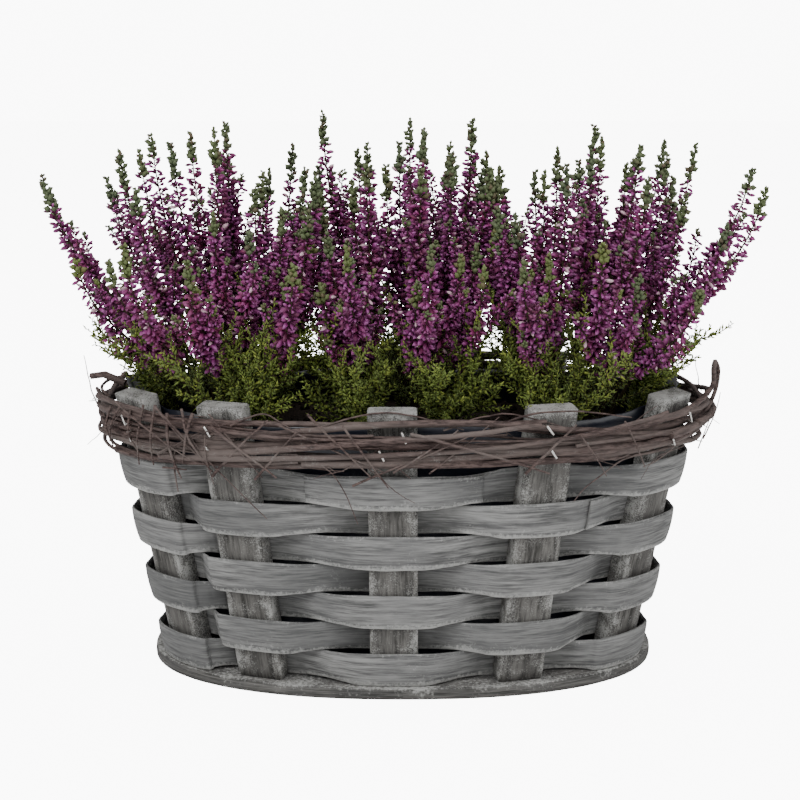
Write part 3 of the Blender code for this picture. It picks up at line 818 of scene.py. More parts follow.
def fixed_normals(mesh):
    """Same mesh with all faces turned outwards."""
    body = bmesh.new()
    body.from_mesh(mesh)
    bmesh.ops.recalc_face_normals(body, faces=body.faces)
    body.to_mesh(mesh)
    body.free()
    return mesh


# Weavers

STRIP_STEPS = 7
STRIP_LEVELS = (-1.0, -0.94, -0.62, -0.22, 0.22, 0.62, 0.94, 1.0)
# How far a strip wanders up and down and how ragged its edges are, with the noise's fineness
WANDER, WANDER_SCALE = 0.0005, 22
RAGGED, RAGGED_SCALE, RAGGED_FROM = 0.0003, 90, 0.9
THIN_EDGE = 0.25
INNER_CUP = 0.3
# Shift of each strip's UV, so that no two strips have the same grain
STRIP_SHIFT, BACK_SHIFT = 0.5, 0.2
# Keeps a strip's seam near the back while it hides behind a stake, metres a radian
SEAM_PULL = 0.001
# Row, left end and right end of each lap, with how much narrower and how far out it lies
LAPS = ((6, -0.051, 0.043), (5, 0.094, 0.140))
LAP_NARROW, LAP_LIFT = 0.0006, 0.0002


def catmull(before, first, second, after, share):
    """Smooth value between first and second."""
    bend = 2 * before - 5 * first + 4 * second - after
    twist = -before + 3 * first - 3 * second + after
    return 0.5 * (2 * first + (second - before) * share + bend * share**2 + twist * share**3)


def smooth_stations(stations):
    """Finely spaced (angle, offset, half height) round one strip."""
    count = len(stations)
    fine = []
    for index in range(count):
        around = []
        for step in (-1, 0, 1, 2):
            turn, out, half = stations[(index + step) % count]
            around.append((turn + 2 * math.pi * ((index + step) // count), out, half))
        for step in range(STRIP_STEPS):
            share = step / STRIP_STEPS
            fine.append(tuple(catmull(*[station[part] for station in around], share) for part in range(3)))
    return fine


def strip_loops(row, z, stations, seed, lift=0.0):
    """Cross sections of a strip with rounded edges, a slight cup and a wandering edge."""
    cup = look("basket_look").strip_cup
    loops, uvs, edges, tones = [], [], [], []
    walked = seed * 0.37
    before = None
    for turn, out, half in stations:
        middle = oval(turn, z, out)
        if before is not None:
            walked += (middle - before).length
        before = middle
        wander = noise.noise(Vector((walked * WANDER_SCALE, seed * 3.1, 0))) * WANDER
        torn = walked * RAGGED_SCALE
        low, high = [noise.noise(Vector((torn, seed * 1.7, side))) * RAGGED for side in (0, 5)]
        outer, inner = [], []
        for level in STRIP_LEVELS:
            ragged = low if level < -RAGGED_FROM else high if level > RAGGED_FROM else 0.0
            height = half * level + wander + ragged
            thick = STRIP_THICK * (THIN_EDGE if abs(level) == 1.0 else 0.5)
            swell = cup * (1 - level**2) * (1 if out > 0 else INNER_CUP)
            outer.append(oval(turn, z + height, out + swell + thick + lift))
            inner.append(oval(turn, z + height, out + swell - thick + lift))
        loops.append(outer + inner[::-1])
        heights = [half * level for level in STRIP_LEVELS]
        line = [(walked, seed * STRIP_SHIFT + height) for height in heights]
        back = [(walked, seed * STRIP_SHIFT + BACK_SHIFT + height) for height in heights[::-1]]
        uvs.append(line + back + [line[0]])
        pale = [max(0.0, -level) ** 4 * 1.5 + max(0.0, level) ** 8 * 0.6 for level in STRIP_LEVELS]
        edges += pale + pale[::-1]
        tones += [0.5 + 0.5 * noise.noise(Vector((row * 2.3, turn * 1.4, 0)))] * (2 * len(STRIP_LEVELS))
    return loops, uvs, edges, tones


def seam_place(station):
    """Least at the station, behind a stake and near the back, where a strip's seam goes."""
    turn, out, _ = station
    return out + SEAM_PULL * abs(turn - math.pi)


def strip_piece(name, closed_ring, loops, uvs, edges, tones, *replaced):
    mesh = fixed_normals(ring_sheet(name, loops, closed_ring, uvs, edges, tones))
    mesh.materials.append(MATERIALS["strip"])
    new_piece(name, mesh, "chip_strip", *replaced)


class HEATHER_OT_weavers(bpy.types.Operator):
    """Make the seven rings of chip strip."""

    bl_idname = "heather.weavers"
    bl_label = "Weavers"

    def execute(self, context):
        turns = stake_turns()
        for row in range(ROWS):
            z, stations = strip_stations(row, turns)
            fine = smooth_stations(stations)
            seam = fine.index(min(fine, key=seam_place))
            fine = fine[seam:] + [(turn + 2 * math.pi, out, half) for turn, out, half in fine[:seam]]
            loops, uvs, edges, tones = strip_loops(row, z, fine, row + 1)
            uvs.append([(u + (uvs[-1][0][0] - uvs[-2][0][0]), v) for u, v in uvs[-1]])
            node = f"weaver_{row + 1}"
            strip_piece(node + "_strip", True, loops, uvs, edges, tones, node)
        return {"FINISHED"}


class HEATHER_OT_laps(bpy.types.Operator):
    """Make the strip ends that lap over the weave in front of a stake."""

    bl_idname = "heather.laps"
    bl_label = "Strip laps"

    def execute(self, context):
        turns = stake_turns()
        for number, (row, left, right) in enumerate(LAPS):
            z, stations = strip_stations(row, turns)
            fine = smooth_stations(stations)
            low, high = turn_at_x(left, z), turn_at_x(right, z)
            wrapped = [((turn + math.pi) % (2 * math.pi) - math.pi, out, half) for turn, out, half in fine]
            span = sorted(station for station in wrapped if low < station[0] < high)
            span = [(turn, out, half - LAP_NARROW) for turn, out, half in span]
            sections = strip_loops(row, z, span, 20 + number, STRIP_THICK + LAP_LIFT)
            strip_piece(f"weaver_{row + 1}_lap", False, *sections)
        return {"FINISHED"}


# Stakes and board

STAKE_ROWS = 26
STAKE_ACROSS = (-0.5, -0.46, -0.2, 0.2, 0.46, 0.5)
# Share of a stake's thickness left at its corners, and of its size at the rounded ends
CORNER_SHARE, END_SHARE, END_CROWN = 0.86, 0.94, 0.0004
SAW_MARKS, CHIPPING = 0.00022, 0.0006
CORNER_FROM = 0.44
BOARD_STEPS = 160
# Height and inset of the board's edge, from its underside round to its top, and how rubbed each is
BOARD_PROFILE = (
    (0.0, 0.0006, 0.0),
    (0.0007, 0.0, 0.0),
    (0.0030, -0.0002, 0.1),
    (0.0053, 0.0, 0.2),
    (BOARD_THICK, 0.0007, 0.75),
    (BOARD_THICK, 0.02, 0.1),
    (0.0, 0.02, 0.0),
)
BOARD_WEAR, BOARD_ROUGH = 0.0005, 0.0002


class HEATHER_OT_stakes(bpy.types.Operator):
    """Make the ten sawn stakes with worn edges and washed tops."""

    bl_idname = "heather.stakes"
    bl_label = "Stakes"

    def execute(self, context):
        outline = [(0.5, aside) for aside in STAKE_ACROSS] + [(-0.5, aside) for aside in STAKE_ACROSS[::-1]]
        outline = [(out * (CORNER_SHARE if abs(aside) == 0.5 else 1.0), aside) for out, aside in outline]
        for number, turn in enumerate(stake_turns()):
            foot, head = oval(turn, BOARD_THICK + TOUCH), oval(turn, BASKET_HEIGHT)
            face = normal_at(turn, BASKET_HEIGHT / 2)
            across = Vector((-face.y, face.x, 0))
            lean = (head - foot).normalized().dot(face)
            loops, uvs, edges = [], [], []
            for step in range(STAKE_ROWS + 1):
                share = min(step / (STAKE_ROWS - 1), 1.0)
                shrink = END_SHARE if step in (0, STAKE_ROWS) else 1.0
                loop, line = [], []
                for out, aside in outline:
                    out, aside = out * STAKE_THICK * shrink, aside * STAKE_WIDTH * shrink
                    drop = Vector((0, 0, -out * lean * share))
                    place = foot.lerp(head, share) + face * out + across * aside + drop
                    if step == STAKE_ROWS:
                        place += Vector((0, 0, END_CROWN))
                    rough = noise.noise(place * 240 + Vector((number * 9, 0, 0)))
                    chip = noise.noise(place * 90 + Vector((0, number * 7, 0)))
                    worn = math.copysign(max(0, chip) * CHIPPING, aside)
                    place += face * (rough * SAW_MARKS if out > 0 else 0.0) - across * worn
                    loop.append(place)
                    line.append((share * 0.15 + number, aside + (0.1 if out < 0 else 0)))
                    corner = abs(aside) > STAKE_WIDTH * CORNER_FROM
                    edges.append(0.72 if step >= STAKE_ROWS - 1 else 0.5 if corner else 0.0)
                loops.append(loop)
                uvs.append(line + [line[0]])
            node = f"stake_{number + 1:02d}"
            tones = [number / 10] * len(edges)
            mesh = fixed_normals(ring_sheet(node + "_sawn", loops, False, uvs, edges, tones))
            mesh.materials.append(MATERIALS["stake"])
            flat_ends(new_piece(node + "_sawn", mesh, "stake_wood", node))
        return {"FINISHED"}


def board_share(point):
    """How far out a point lies on the board, 1 at its edge."""
    x, y = abs(point.x) / BOARD_HALF[0], abs(point.y) / BOARD_HALF[1]
    return (x**OVAL_POWER + y**OVAL_POWER) ** (1 / OVAL_POWER)


def on_flat(point):
    """Whether a point lies in the board's underside or top."""
    return min(point.z, BOARD_THICK - point.z) < 1e-6


class HEATHER_OT_board(bpy.types.Operator):
    """Make the oval base board with its worn, washed edge."""

    bl_idname = "heather.board"
    bl_label = "Base board"

    def execute(self, context):
        loops, uvs, edges = [], [], []
        walked = 0.0
        for step in range(BOARD_STEPS):
            turn = 2 * math.pi * step / BOARD_STEPS
            loop = []
            wear = noise.noise(Vector((step * 0.21, 3.0, 0))) * BOARD_WEAR
            for z, inset, _ in BOARD_PROFILE:
                rough = wear + noise.noise(Vector((step * 0.9, z * 900, 7.0))) * BOARD_ROUGH
                loop.append(oval(turn, z, -inset - max(0, rough), BOARD_HALF))
            if loops:
                walked += (loop[2] - loops[-1][2]).length
            line = [(walked, z * 3 + inset) for z, inset, _ in BOARD_PROFILE]
            loops.append(loop)
            uvs.append(line + [line[0]])
            edges += [rubbed for _, _, rubbed in BOARD_PROFILE]
        uvs.append([(u + 0.004, v) for u, v in uvs[-1]])
        rim = ring_sheet("board_rim", loops, True, uvs, edges, [0.4] * len(edges))
        body = bmesh.new()
        body.from_mesh(rim)
        flat = [edge for edge in body.edges if all(on_flat(vert.co) for vert in edge.verts)]
        inner_wall = [face for face in body.faces if all(board_share(vert.co) < 0.9 for vert in face.verts)]
        bmesh.ops.delete(body, geom=inner_wall, context="FACES")
        open_edges = [edge for edge in flat if edge.is_valid and edge.is_boundary]
        bmesh.ops.holes_fill(body, edges=open_edges, sides=0)
        bmesh.ops.recalc_face_normals(body, faces=body.faces)
        body.to_mesh(rim)
        body.free()
        rim.materials.append(MATERIALS["board"])
        flat_ends(new_piece("base_board_worn", rim, "board_wood", "base_board"))
        return {"FINISHED"}


# Paths that Geometry Nodes follow


def path_mesh(name, paths):
    """Polylines with heading, thickness, stud size, freshness and kind at each point."""
    mesh = bpy.data.meshes.new(name)
    verts, edges = [], []
    headings, thick, sizes, fresh, kinds = [], [], [], [], []
    for path in paths:
        points = path["points"]
        first, last = len(verts), len(points) - 1
        for index, point in enumerate(points):
            verts.append(point)
            headings += (points[min(index + 1, last)] - points[max(index - 1, 0)]).normalized()[:]
            thick.append(path["thick"](index / last) if "thick" in path else 0.0)
            sizes.append(path["size"](index / last) if "size" in path else 1.0)
            fresh.append(path.get("fresh", 0.5))
            kinds.append(path["kind"])
        edges += [(first + index, first + index + 1) for index in range(last)]
    mesh.from_pydata(verts, edges, [])
    add_attribute(mesh, "heading", headings, "FLOAT_VECTOR")
    for label, values in (("thick", thick), ("stud", sizes), ("fresh", fresh)):
        add_attribute(mesh, label, values)
    add_attribute(mesh, "kind", kinds, "INT")
    return mesh


def wood(points, radius, taper=0.0, full=1.0):
    """Path of a stem or twig, of a radius that tapers to its end."""
    return {"kind": WOOD, "points": points, "thick": lambda share: radius * (full - taper * share)}


def named(tree, name, data_type="FLOAT"):
    node = put(tree, "GeometryNodeInputNamedAttribute", {"Name": name}, data_type=data_type)
    return node.outputs["Attribute"]


def of_kind(tree, geometry, kind):
    """The polylines of one kind, as curves."""
    inputs = {2: named(tree, "kind", "INT"), 3: kind}
    same = put(tree, "FunctionNodeCompare", inputs, data_type="INT", operation="EQUAL")
    chosen = put(tree, "GeometryNodeSeparateGeometry", {"Geometry": geometry, "Selection": same.outputs[0]})
    return put(tree, "GeometryNodeMeshToCurve", {"Mesh": chosen.outputs["Selection"]}).outputs["Curve"]


def finished(tree, geometry, material):
    """Real geometry with its material, as every tree ends."""
    real = put(tree, "GeometryNodeRealizeInstances", {"Geometry": geometry}).outputs[0]
    return put(tree, "GeometryNodeSetMaterial", {"Geometry": real, "Material": material}).outputs[0]


def swept(tree, curves, sides, material):
    """Round stems whose thickness follows the thick attribute."""
    ring = put(tree, "GeometryNodeCurvePrimitiveCircle", {"Resolution": sides, "Radius": 1.0}).outputs[0]
    inputs = {"Curve": curves, "Profile Curve": ring, "Scale": named(tree, "thick"), "Fill Caps": True}
    return finished(tree, put(tree, "GeometryNodeCurveToMesh", inputs).outputs["Mesh"], material)


def turned_by(tree, rotation, axis, angle):
    """Rotation turned on about one of its own axes."""
    spin = put(tree, "FunctionNodeAxisAngleToRotation", {"Axis": axis, "Angle": angle}).outputs[0]
    inputs = {"Rotation": rotation, "Rotate By": spin}
    return put(tree, "FunctionNodeRotateRotation", inputs, rotation_space="LOCAL").outputs[0]


def random_value(tree, seed, limits=()):
    """Random number at each point, from 0 to 1 or between two limits."""
    inputs = {"Seed": seed, **dict(zip((2, 3), limits))}
    return put(tree, "FunctionNodeRandomValue", inputs, data_type="FLOAT").outputs[1]


def studded(tree, curves, stud, pitch, turn, sway, seed, wander, material):
    """Studs that spiral up the curves, each turned on from the last."""
    inputs = {"Curve": curves, "Length": pitch}
    spaced = put(tree, "GeometryNodeResampleCurve", inputs, mode="LENGTH").outputs[0]
    heading = {"Vector": named(tree, "heading", "FLOAT_VECTOR")}
    upright = put(tree, "FunctionNodeAlignRotationToVector", heading, axis="Z").outputs[0]
    index = put(tree, "GeometryNodeInputIndex").outputs[0]
    turned = turned_by(tree, upright, (0, 0, 1), times(tree, index, turn))
    nod = random_value(tree, plus(tree, seed, NOD_DRAW), (times(tree, sway, -1.0), sway))
    turned = turned_by(tree, turned, (0, 1, 0), nod)
    limits = (math_node(tree, "SUBTRACT", 1.0, wander), plus(tree, 1.0, wander))
    scale = times(tree, named(tree, "stud"), random_value(tree, seed, limits))
    shape = put(tree, "GeometryNodeObjectInfo", {"Object": stud}).outputs["Geometry"]
    inputs = {"Points": spaced, "Instance": shape, "Rotation": turned, "Scale": scale}
    placed = put(tree, "GeometryNodeInstanceOnPoints", inputs).outputs[0]
    inputs = {"Geometry": placed, "Name": "tone", "Value": random_value(tree, plus(tree, seed, TONE_DRAW))}
    toned = put(tree, "GeometryNodeStoreNamedAttribute", inputs, data_type="FLOAT", domain="INSTANCE")
    return finished(tree, toned.outputs[0], material)


def heather_tree():
    """Stems, buds and scale leaves along the polylines of a spray or tuft."""
    inputs = (
        ("Geometry", "Geometry"),
        ("Bud", "Object"),
        ("Leaf", "Object"),
        ("Tip", "Object"),
        ("Bud Pitch", "Float", 0.0009),
        ("Leaf Pitch", "Float", 0.0005),
        ("Tip Pitch", "Float", 0.0005),
        ("Turn", "Float", GOLDEN_TURN),
        ("Sway", "Float", 0.4),
        ("Size Wander", "Float", 0.2),
        ("Seed", "Int", 1),
        ("Stem Material", "Material"),
        ("Bud Material", "Material"),
        ("Leaf Material", "Material"),
        ("Tip Material", "Material"),
    )
    tree, given, result = new_group("Heather stems", "GeometryNodeTree", inputs, (("Geometry", "Geometry"),))
    source = given.outputs["Geometry"]
    spread = [given.outputs[label] for label in ("Turn", "Sway", "Seed", "Size Wander")]
    joined = put(tree, "GeometryNodeJoinGeometry")
    parts = [swept(tree, of_kind(tree, source, WOOD), STEM_SIDES, given.outputs["Stem Material"])]
    for kind, stud in ((BUDS, "Bud"), (LEAVES, "Leaf"), (GREEN, "Tip")):
        curves = of_kind(tree, source, kind)
        shape, pitch, material = [given.outputs[stud + label] for label in ("", " Pitch", " Material")]
        parts.append(studded(tree, curves, shape, pitch, *spread, material))
    for part in parts:
        tree.links.new(part, joined.inputs[0])
    tree.links.new(joined.outputs[0], result.inputs["Geometry"])
    return tree


def twig_tree():
    """Twigs along the polylines, crooked by noise."""
    inputs = (
        ("Geometry", "Geometry"),
        ("Sides", "Int", 7),
        ("Crook", "Float", 0.0008),
        ("Crook Scale", "Float", 90.0),
        ("Material", "Material"),
    )
    tree, given, result = new_group("Twigs", "GeometryNodeTree", inputs, (("Geometry", "Geometry"),))
    curves = put(tree, "GeometryNodeMeshToCurve", {"Mesh": given.outputs["Geometry"]}).outputs[0]
    inputs = {"Scale": given.outputs["Crook Scale"], "Detail": 2.0}
    wobble = {0: put(tree, "ShaderNodeTexNoise", inputs).outputs["Color"], 1: (0.5, 0.5, 0.5)}
    centred = put(tree, "ShaderNodeVectorMath", wobble, operation="SUBTRACT").outputs[0]
    inputs = {0: centred, "Scale": given.outputs["Crook"]}
    offset = put(tree, "ShaderNodeVectorMath", inputs, operation="SCALE").outputs[0]
    bent = put(tree, "GeometryNodeSetPosition", {"Geometry": curves, "Offset": offset}).outputs[0]
    tubes = swept(tree, bent, given.outputs["Sides"], given.outputs["Material"])
    tree.links.new(tubes, result.inputs["Geometry"])
    return tree


def scatter_tree():
    """One shape set at each point of a mesh, turned and sized by its attributes."""
    inputs = (("Geometry", "Geometry"), ("Shape", "Object"), ("Material", "Material"))
    tree, given, result = new_group("Set pieces", "GeometryNodeTree", inputs, (("Geometry", "Geometry"),))
    points = put(tree, "GeometryNodeMeshToPoints", {"Mesh": given.outputs["Geometry"]}).outputs[0]
    shape = put(tree, "GeometryNodeObjectInfo", {"Object": given.outputs["Shape"]}).outputs["Geometry"]
    facing = {"Euler": named(tree, "facing", "FLOAT_VECTOR")}
    turned = put(tree, "FunctionNodeEulerToRotation", facing).outputs[0]
    inputs = {"Points": points, "Instance": shape, "Rotation": turned, "Scale": named(tree, "stud")}
    placed = put(tree, "GeometryNodeInstanceOnPoints", inputs).outputs[0]
    tree.links.new(finished(tree, placed, given.outputs["Material"]), result.inputs["Geometry"])
    return tree


TREES = {}
STUDS = {}


def grown(name, mesh, tree, values):
    """Plain mesh that a Geometry Nodes tree makes from a mesh of paths or points."""
    carrier = place_object(name + "_paths", mesh)
    modifier = carrier.modifiers.new("grow", "NODES")
    modifier.node_group = tree
    for label, value in values.items():
        modifier[socket_id(tree, label)] = value
    bpy.context.view_layer.update()
    graph = bpy.context.evaluated_depsgraph_get()
    result = bpy.data.meshes.new_from_object(carrier.evaluated_get(graph))
    result.name = name
    bpy.data.objects.remove(carrier)
    return result


def add_stud(mesh):
    """Shape to be repeated, kept out of the picture until it is removed."""
    stud = place_object(mesh.name, mesh)
    stud.hide_render = True
    STUDS[mesh.name] = stud


def set_pieces(name, slot, stud, finish_name, points, facing, sizes):
    """Piece made of one stud set at each point."""
    mesh = bpy.data.meshes.new(name + "_points")
    mesh.from_pydata(points, [], [])
    add_attribute(mesh, "facing", facing, "FLOAT_VECTOR")
    add_attribute(mesh, "stud", sizes)
    values = {"Shape": STUDS[stud], "Material": MATERIALS[finish_name]}
    new_piece(name, grown(name, mesh, TREES["set"], values), slot)


def lathe(profile, sides):
    """Closed little body of (place along, radius) rings about X."""
    body = bmesh.new()
    rings = []
    for along, radius in profile:
        ring = []
        for side in range(sides if radius else 1):
            angle = 2 * math.pi * side / sides
            ring.append(body.verts.new((along, radius * math.cos(angle), radius * math.sin(angle))))
        rings.append(ring)
    for low, high in zip(rings, rings[1:]):
        for side in range(sides):
            after = (side + 1) % sides
            around = ((low, side), (low, after), (high, after), (high, side))
            corners = [ring[corner % len(ring)] for ring, corner in around]
            body.faces.new(list(dict.fromkeys(corners)))
    bmesh.ops.recalc_face_normals(body, faces=body.faces)
    return body


def make_studs():
    """Bud, tip scale and scale leaf, each with its foot on the stem and pointing out and up."""
    heather = look("heather_look")
    stalk, bud, tip, leaf = heather.bud_stalk, heather.bud_length, heather.tip_length, heather.leaf_length
    belly = ((stalk + bud * 0.28, bud * 0.32), (stalk + bud * 0.72, bud * 0.25))
    for name, sides, rise, foot, length, rings in (
        ("bud", 3, 10, stalk, bud, belly),
        ("tip_scale", 4, 50, 0.0, tip, ((tip * 0.55, tip * 0.34),)),
        ("leaf", 3, 52, 0.0, leaf, ((leaf * 0.42, leaf * 0.18),)),
    ):
        body = lathe(((0.0, 0.0), *rings, (foot + length, 0.0)), sides)
        bmesh.ops.rotate(body, verts=body.verts, matrix=Matrix.Rotation(-math.radians(rise), 3, "Y"))
        mesh = mesh_from(body, name)
        if name != "leaf":
            reach = foot + length
            along = [max(0.0, (vert.co.length - foot) / (reach - foot)) for vert in mesh.vertices]
            add_attribute(mesh, "along", along)
        add_stud(mesh)


# Heathers

STEM_POINTS, TIP_POINTS, SHOOT_POINTS = 16, 8, 12
STEM_WIDTH, TWIG_WIDTH, SHOOT_WIDTH = 0.0010, 0.0005, 0.00042
SIDE_STEPS = 6
TIP_STEP = 0.0014
SIZE_WANDER = 0.28
# Share of the way up a stem from one leafy shoot to the next
SHOOTS_FROM, SHOOTS_STEP, SHOOTS_PAST = 0.07, 0.055, 0.04
# Lengths of a spike's side spikes and leafy shoots and of a tuft's twigs
SPIKE_LENGTHS, SHOOT_LENGTHS, TUFT_TWIG_LENGTHS = (0.020, 0.036), (0.018, 0.034), (0.011, 0.022)
SPARE_BUDS = (0.02, 0.05)
# Steps from a plant's seed to the seeds of what the solids don't have, on its spikes and on its tufts
SIDE_DRAW, TWIG_DRAW = 900, 700
# Steps from ten times a plant's seed to the seeds of its tufts' trees
TUFT_TREE_DRAW = 50


def sampled(path, low, high, count):
    return [bezier(path, low + (high - low) * index / (count - 1)) for index in range(count)]


def side_shoot(path, share, azimuth, length, spread, rise):
    """Points of a shoot that leaves a stem and bends upwards."""
    foot = bezier(path, share)
    aim = (bezier(path, share + 0.02) - foot).normalized()
    aside = Matrix.Rotation(azimuth, 3, aim) @ aim.orthogonal().normalized()
    start = (aim + aside * spread).normalized()
    end = (start + Vector((0, 0, rise))).normalized()
    points = [foot]
    for step in range(SIDE_STEPS):
        bent = start.lerp(end, step / (SIDE_STEPS - 1)).normalized()
        points.append(points[-1] + bent * (length / SIDE_STEPS))
    return points


def tip_size(share):
    """Size of the green scales that close a spike."""
    return 1.1 - 0.42 * share * share


def side_tip_size(share):
    return 0.72 * tip_size(share)


def spike_size(share):
    """Bud size along a spike: full low down and smaller to the tip."""
    return (0.72 + 0.28 * min(1.0, share * 6)) * (1.14 - 0.44 * share)


def leafy(points, fresh, size=1.0):
    """A shoot's own wood and its run of scale leaves."""

    def leaf_size(share):
        return size * (1.05 - 0.45 * share)

    leaves = {"kind": LEAVES, "points": points, "size": leaf_size, "fresh": fresh}
    return [wood(points, SHOOT_WIDTH, 0.6), leaves]


def budded(points, top, fresh):
    """A side spike's own wood, its run of buds, small at the end, and a green tip."""
    aim = (points[-1] - points[-2]).normalized()
    tip = [points[-1] + aim * (TIP_STEP * step) for step in range(-1, 3)]
    return [
        wood(points, TWIG_WIDTH, 0.5),
        {"kind": BUDS, "points": points, "size": lambda share: top * (1.0 - 0.35 * share)},
        {"kind": GREEN, "points": tip, "size": side_tip_size, "fresh": fresh},
    ]


def spike_paths(path, start, end, rng):
    """All the polylines of one flowering stem."""
    buds = sampled(path, start - SPARE_BUDS[0], end + SPARE_BUDS[1], STEM_POINTS)
    paths = [wood(sampled(path, 0.0, 1.0, STEM_POINTS), STEM_WIDTH, 0.65)]
    paths.append({"kind": BUDS, "points": buds, "size": spike_size})
    low = path[3].z < LOW_HEIGHTS[1]
    fresh = rng.uniform(0.1, 0.7) if low else rng.uniform(0.0, 0.25)
    tip = sampled(path, end + 0.04, 0.995, TIP_POINTS)
    paths.append({"kind": GREEN, "points": tip, "size": tip_size, "fresh": fresh})
    azimuth = rng.uniform(0, 2 * math.pi)
    for _ in range(4 if path[3].y > 0 else 3):
        azimuth += GOLDEN_TURN
        share = rng.uniform(start - 0.08, start + 0.30)
        length = rng.uniform(*SPIKE_LENGTHS)
        paths += budded(side_shoot(path, share, azimuth, length, 0.5, 0.6), 0.85, fresh)
    share = SHOOTS_FROM
    while share < start + SHOOTS_PAST:
        azimuth += GOLDEN_TURN
        length = rng.uniform(*SHOOT_LENGTHS)
        fresh = min(1.0, max(0.15, share * 1.5 + rng.uniform(-0.15, 0.35)))
        paths += leafy(side_shoot(path, share, azimuth, length, 0.85, 0.45), fresh)
        share += SHOOTS_STEP
    return paths


def new_plant_piece(node, suffix, slot, paths, seed):
    """Spray or tuft grown along its paths in the place of its node."""
    heather = look("heather_look")
    values = {
        "Turn": GOLDEN_TURN,
        "Sway": heather.bud_sway,
        "Size Wander": SIZE_WANDER,
        "Seed": seed,
        "Stem Material": MATERIALS["stem"],
    }
    for stud, shape in (("bud", "bud"), ("leaf", "leaf"), ("tip", "tip_scale")):
        label = stud.title()
        values[label] = STUDS[shape]
        values[label + " Pitch"] = getattr(heather, stud + "_pitch")
        values[label + " Material"] = MATERIALS[stud]
    name = node + suffix
    new_piece(name, grown(name, path_mesh(name + "_lines", paths), TREES["heather"], values), slot, node)


def trunk_and_start(foot, share_above):
    """Path of a trunk and the place inside it where its stems start."""
    low = foot + Vector((0, 0, SOIL_TOP - SOIL_HOLE_DEPTH + TOUCH))
    fork = foot + Vector((0, 0, SOIL_TOP + TRUNK_ABOVE * share_above))
    return wood([low, low.lerp(fork, 0.5), fork], TRUNK_RADIUS, 0.25), fork - Vector((0, 0, ROOT_SINK))


class HEATHER_OT_sprays(bpy.types.Operator):
    """Make the flowering sprays of the three heathers."""

    bl_idname = "heather.sprays"
    bl_label = "Flowering sprays"

    def execute(self, context):
        for side, plant in PLANTS.items():
            rng = random.Random(plant["seed"] + FLORET_DRAW)
            extra = random.Random(plant["seed"] + SIDE_DRAW)
            for index, (foot, tips) in enumerate(spray_layout(plant)):
                trunk, start = trunk_and_start(foot, 1.0)
                draws = [rng] * len(tips)
                for x, y, z in FILL_TIPS[side].get(index, ()):
                    tip = Vector((x, y, z + extra.uniform(-FILL_WANDER, FILL_WANDER)))
                    tips.append((tip, Vector((0, FILL_LEAN * y, 1)).normalized()))
                    draws.append(extra)
                paths = [trunk]
                for (tip, lean), draw in zip(tips, draws):
                    run = tip - start
                    reach = run.length
                    rise = start + Vector((STEM_SPREAD * run.x, STEM_SPREAD * run.y, STEM_RISE * reach))
                    first = FLORETS_FROM + draw.uniform(-SHARE_WANDER, SHARE_WANDER)
                    last = FLORETS_TO + draw.uniform(-SHARE_WANDER, SHARE_WANDER)
                    stem = (start, rise, tip - lean * (TIP_RUN * reach), tip)
                    paths += spike_paths(stem, first, last, extra)
                node = f"heather_{side}_flower_spray_{index + 1}"
                new_plant_piece(node, "_bloom", "heather_flowers", paths, plant["seed"] * 10 + index)
        return {"FINISHED"}


class HEATHER_OT_tufts(bpy.types.Operator):
    """Make the low green tufts at the foot of the heathers."""

    bl_idname = "heather.tufts"
    bl_label = "Leafy tufts"

    def execute(self, context):
        for side, plant in PLANTS.items():
            extra = random.Random(plant["seed"] + TWIG_DRAW)
            for index, (foot, tips) in enumerate(tuft_layout(plant, TUFT_HEADINGS[side])):
                trunk, start = trunk_and_start(foot, TUFT_TRUNK)
                for tip in list(tips):
                    flat = Vector((tip.x - foot.x, tip.y - foot.y, 0))
                    swung = Matrix.Rotation(extra.uniform(-0.5, 0.5), 3, "Z") @ flat
                    lift = Vector((0, 0, tip.z + extra.uniform(0.008, 0.028)))
                    tips.append(foot + swung * extra.uniform(0.7, 1.12) + lift)
                tips += [Vector(place) for place in FILL_SHOOTS[side].get(index, ())]
                paths = [trunk]
                for tip in tips:
                    run = tip - start
                    rise = start + Vector((0, 0, SHOOT_RISE)) + run * SHOOT_RUN
                    bend = tip - run * SHOOT_BEND[0] - Vector((0, 0, SHOOT_BEND[1]))
                    shoot = (start, rise, bend, tip)
                    paths += leafy(sampled(shoot, 0.0, 1.0, SHOOT_POINTS), 0.9, 1.2)
                    azimuth = extra.uniform(0, 2 * math.pi)
                    for twig in range(7 if tip.y > 0.02 else 9):
                        azimuth += GOLDEN_TURN
                        share = 0.25 + 0.08 * twig
                        length = extra.uniform(*TUFT_TWIG_LENGTHS)
                        fresh = min(1.0, 0.35 + 0.5 * share + extra.uniform(-0.15, 0.3))
                        paths += leafy(side_shoot(shoot, share, azimuth, length, 0.8, 0.5), fresh, 1.15)
                node = f"heather_{side}_leafy_tuft_{index + 1}"
                seed = plant["seed"] * 10 + TUFT_TREE_DRAW + index
                new_plant_piece(node, "_leaves", "heather_leaves", paths, seed)
        return {"FINISHED"}


# Twig border

# Seeds of the border, of its tangle at the left, of the staples and of the soil's crumbs
BORDER_DRAW, TANGLE_DRAW, STAPLE_DRAW, CRUMB_DRAW = 41, 29, 8, 3
RING_STEPS, RUN_STEPS, CROSS_STEPS, CURL_STEPS, ARC_STEPS, LOOP_STEPS = 120, 34, 12, 14, 10, 8
LOOSE_RADII = (0.0005, 0.0007, 0.0010, 0.0014, 0.0018, 0.0022)
LOOSE_INSIDE, LOOSE_LAYERS = 0.0058, (0.0, 0.0028, 0.0060)
CURLY_TWIGS, CROSSING_TWIGS, TANGLE_TWIGS = 40, 34, 9
CROSS_LOW, CROSS_HIGH, CROSS_OUT = (0.120, 0.132), (0.148, 0.158), 0.0138
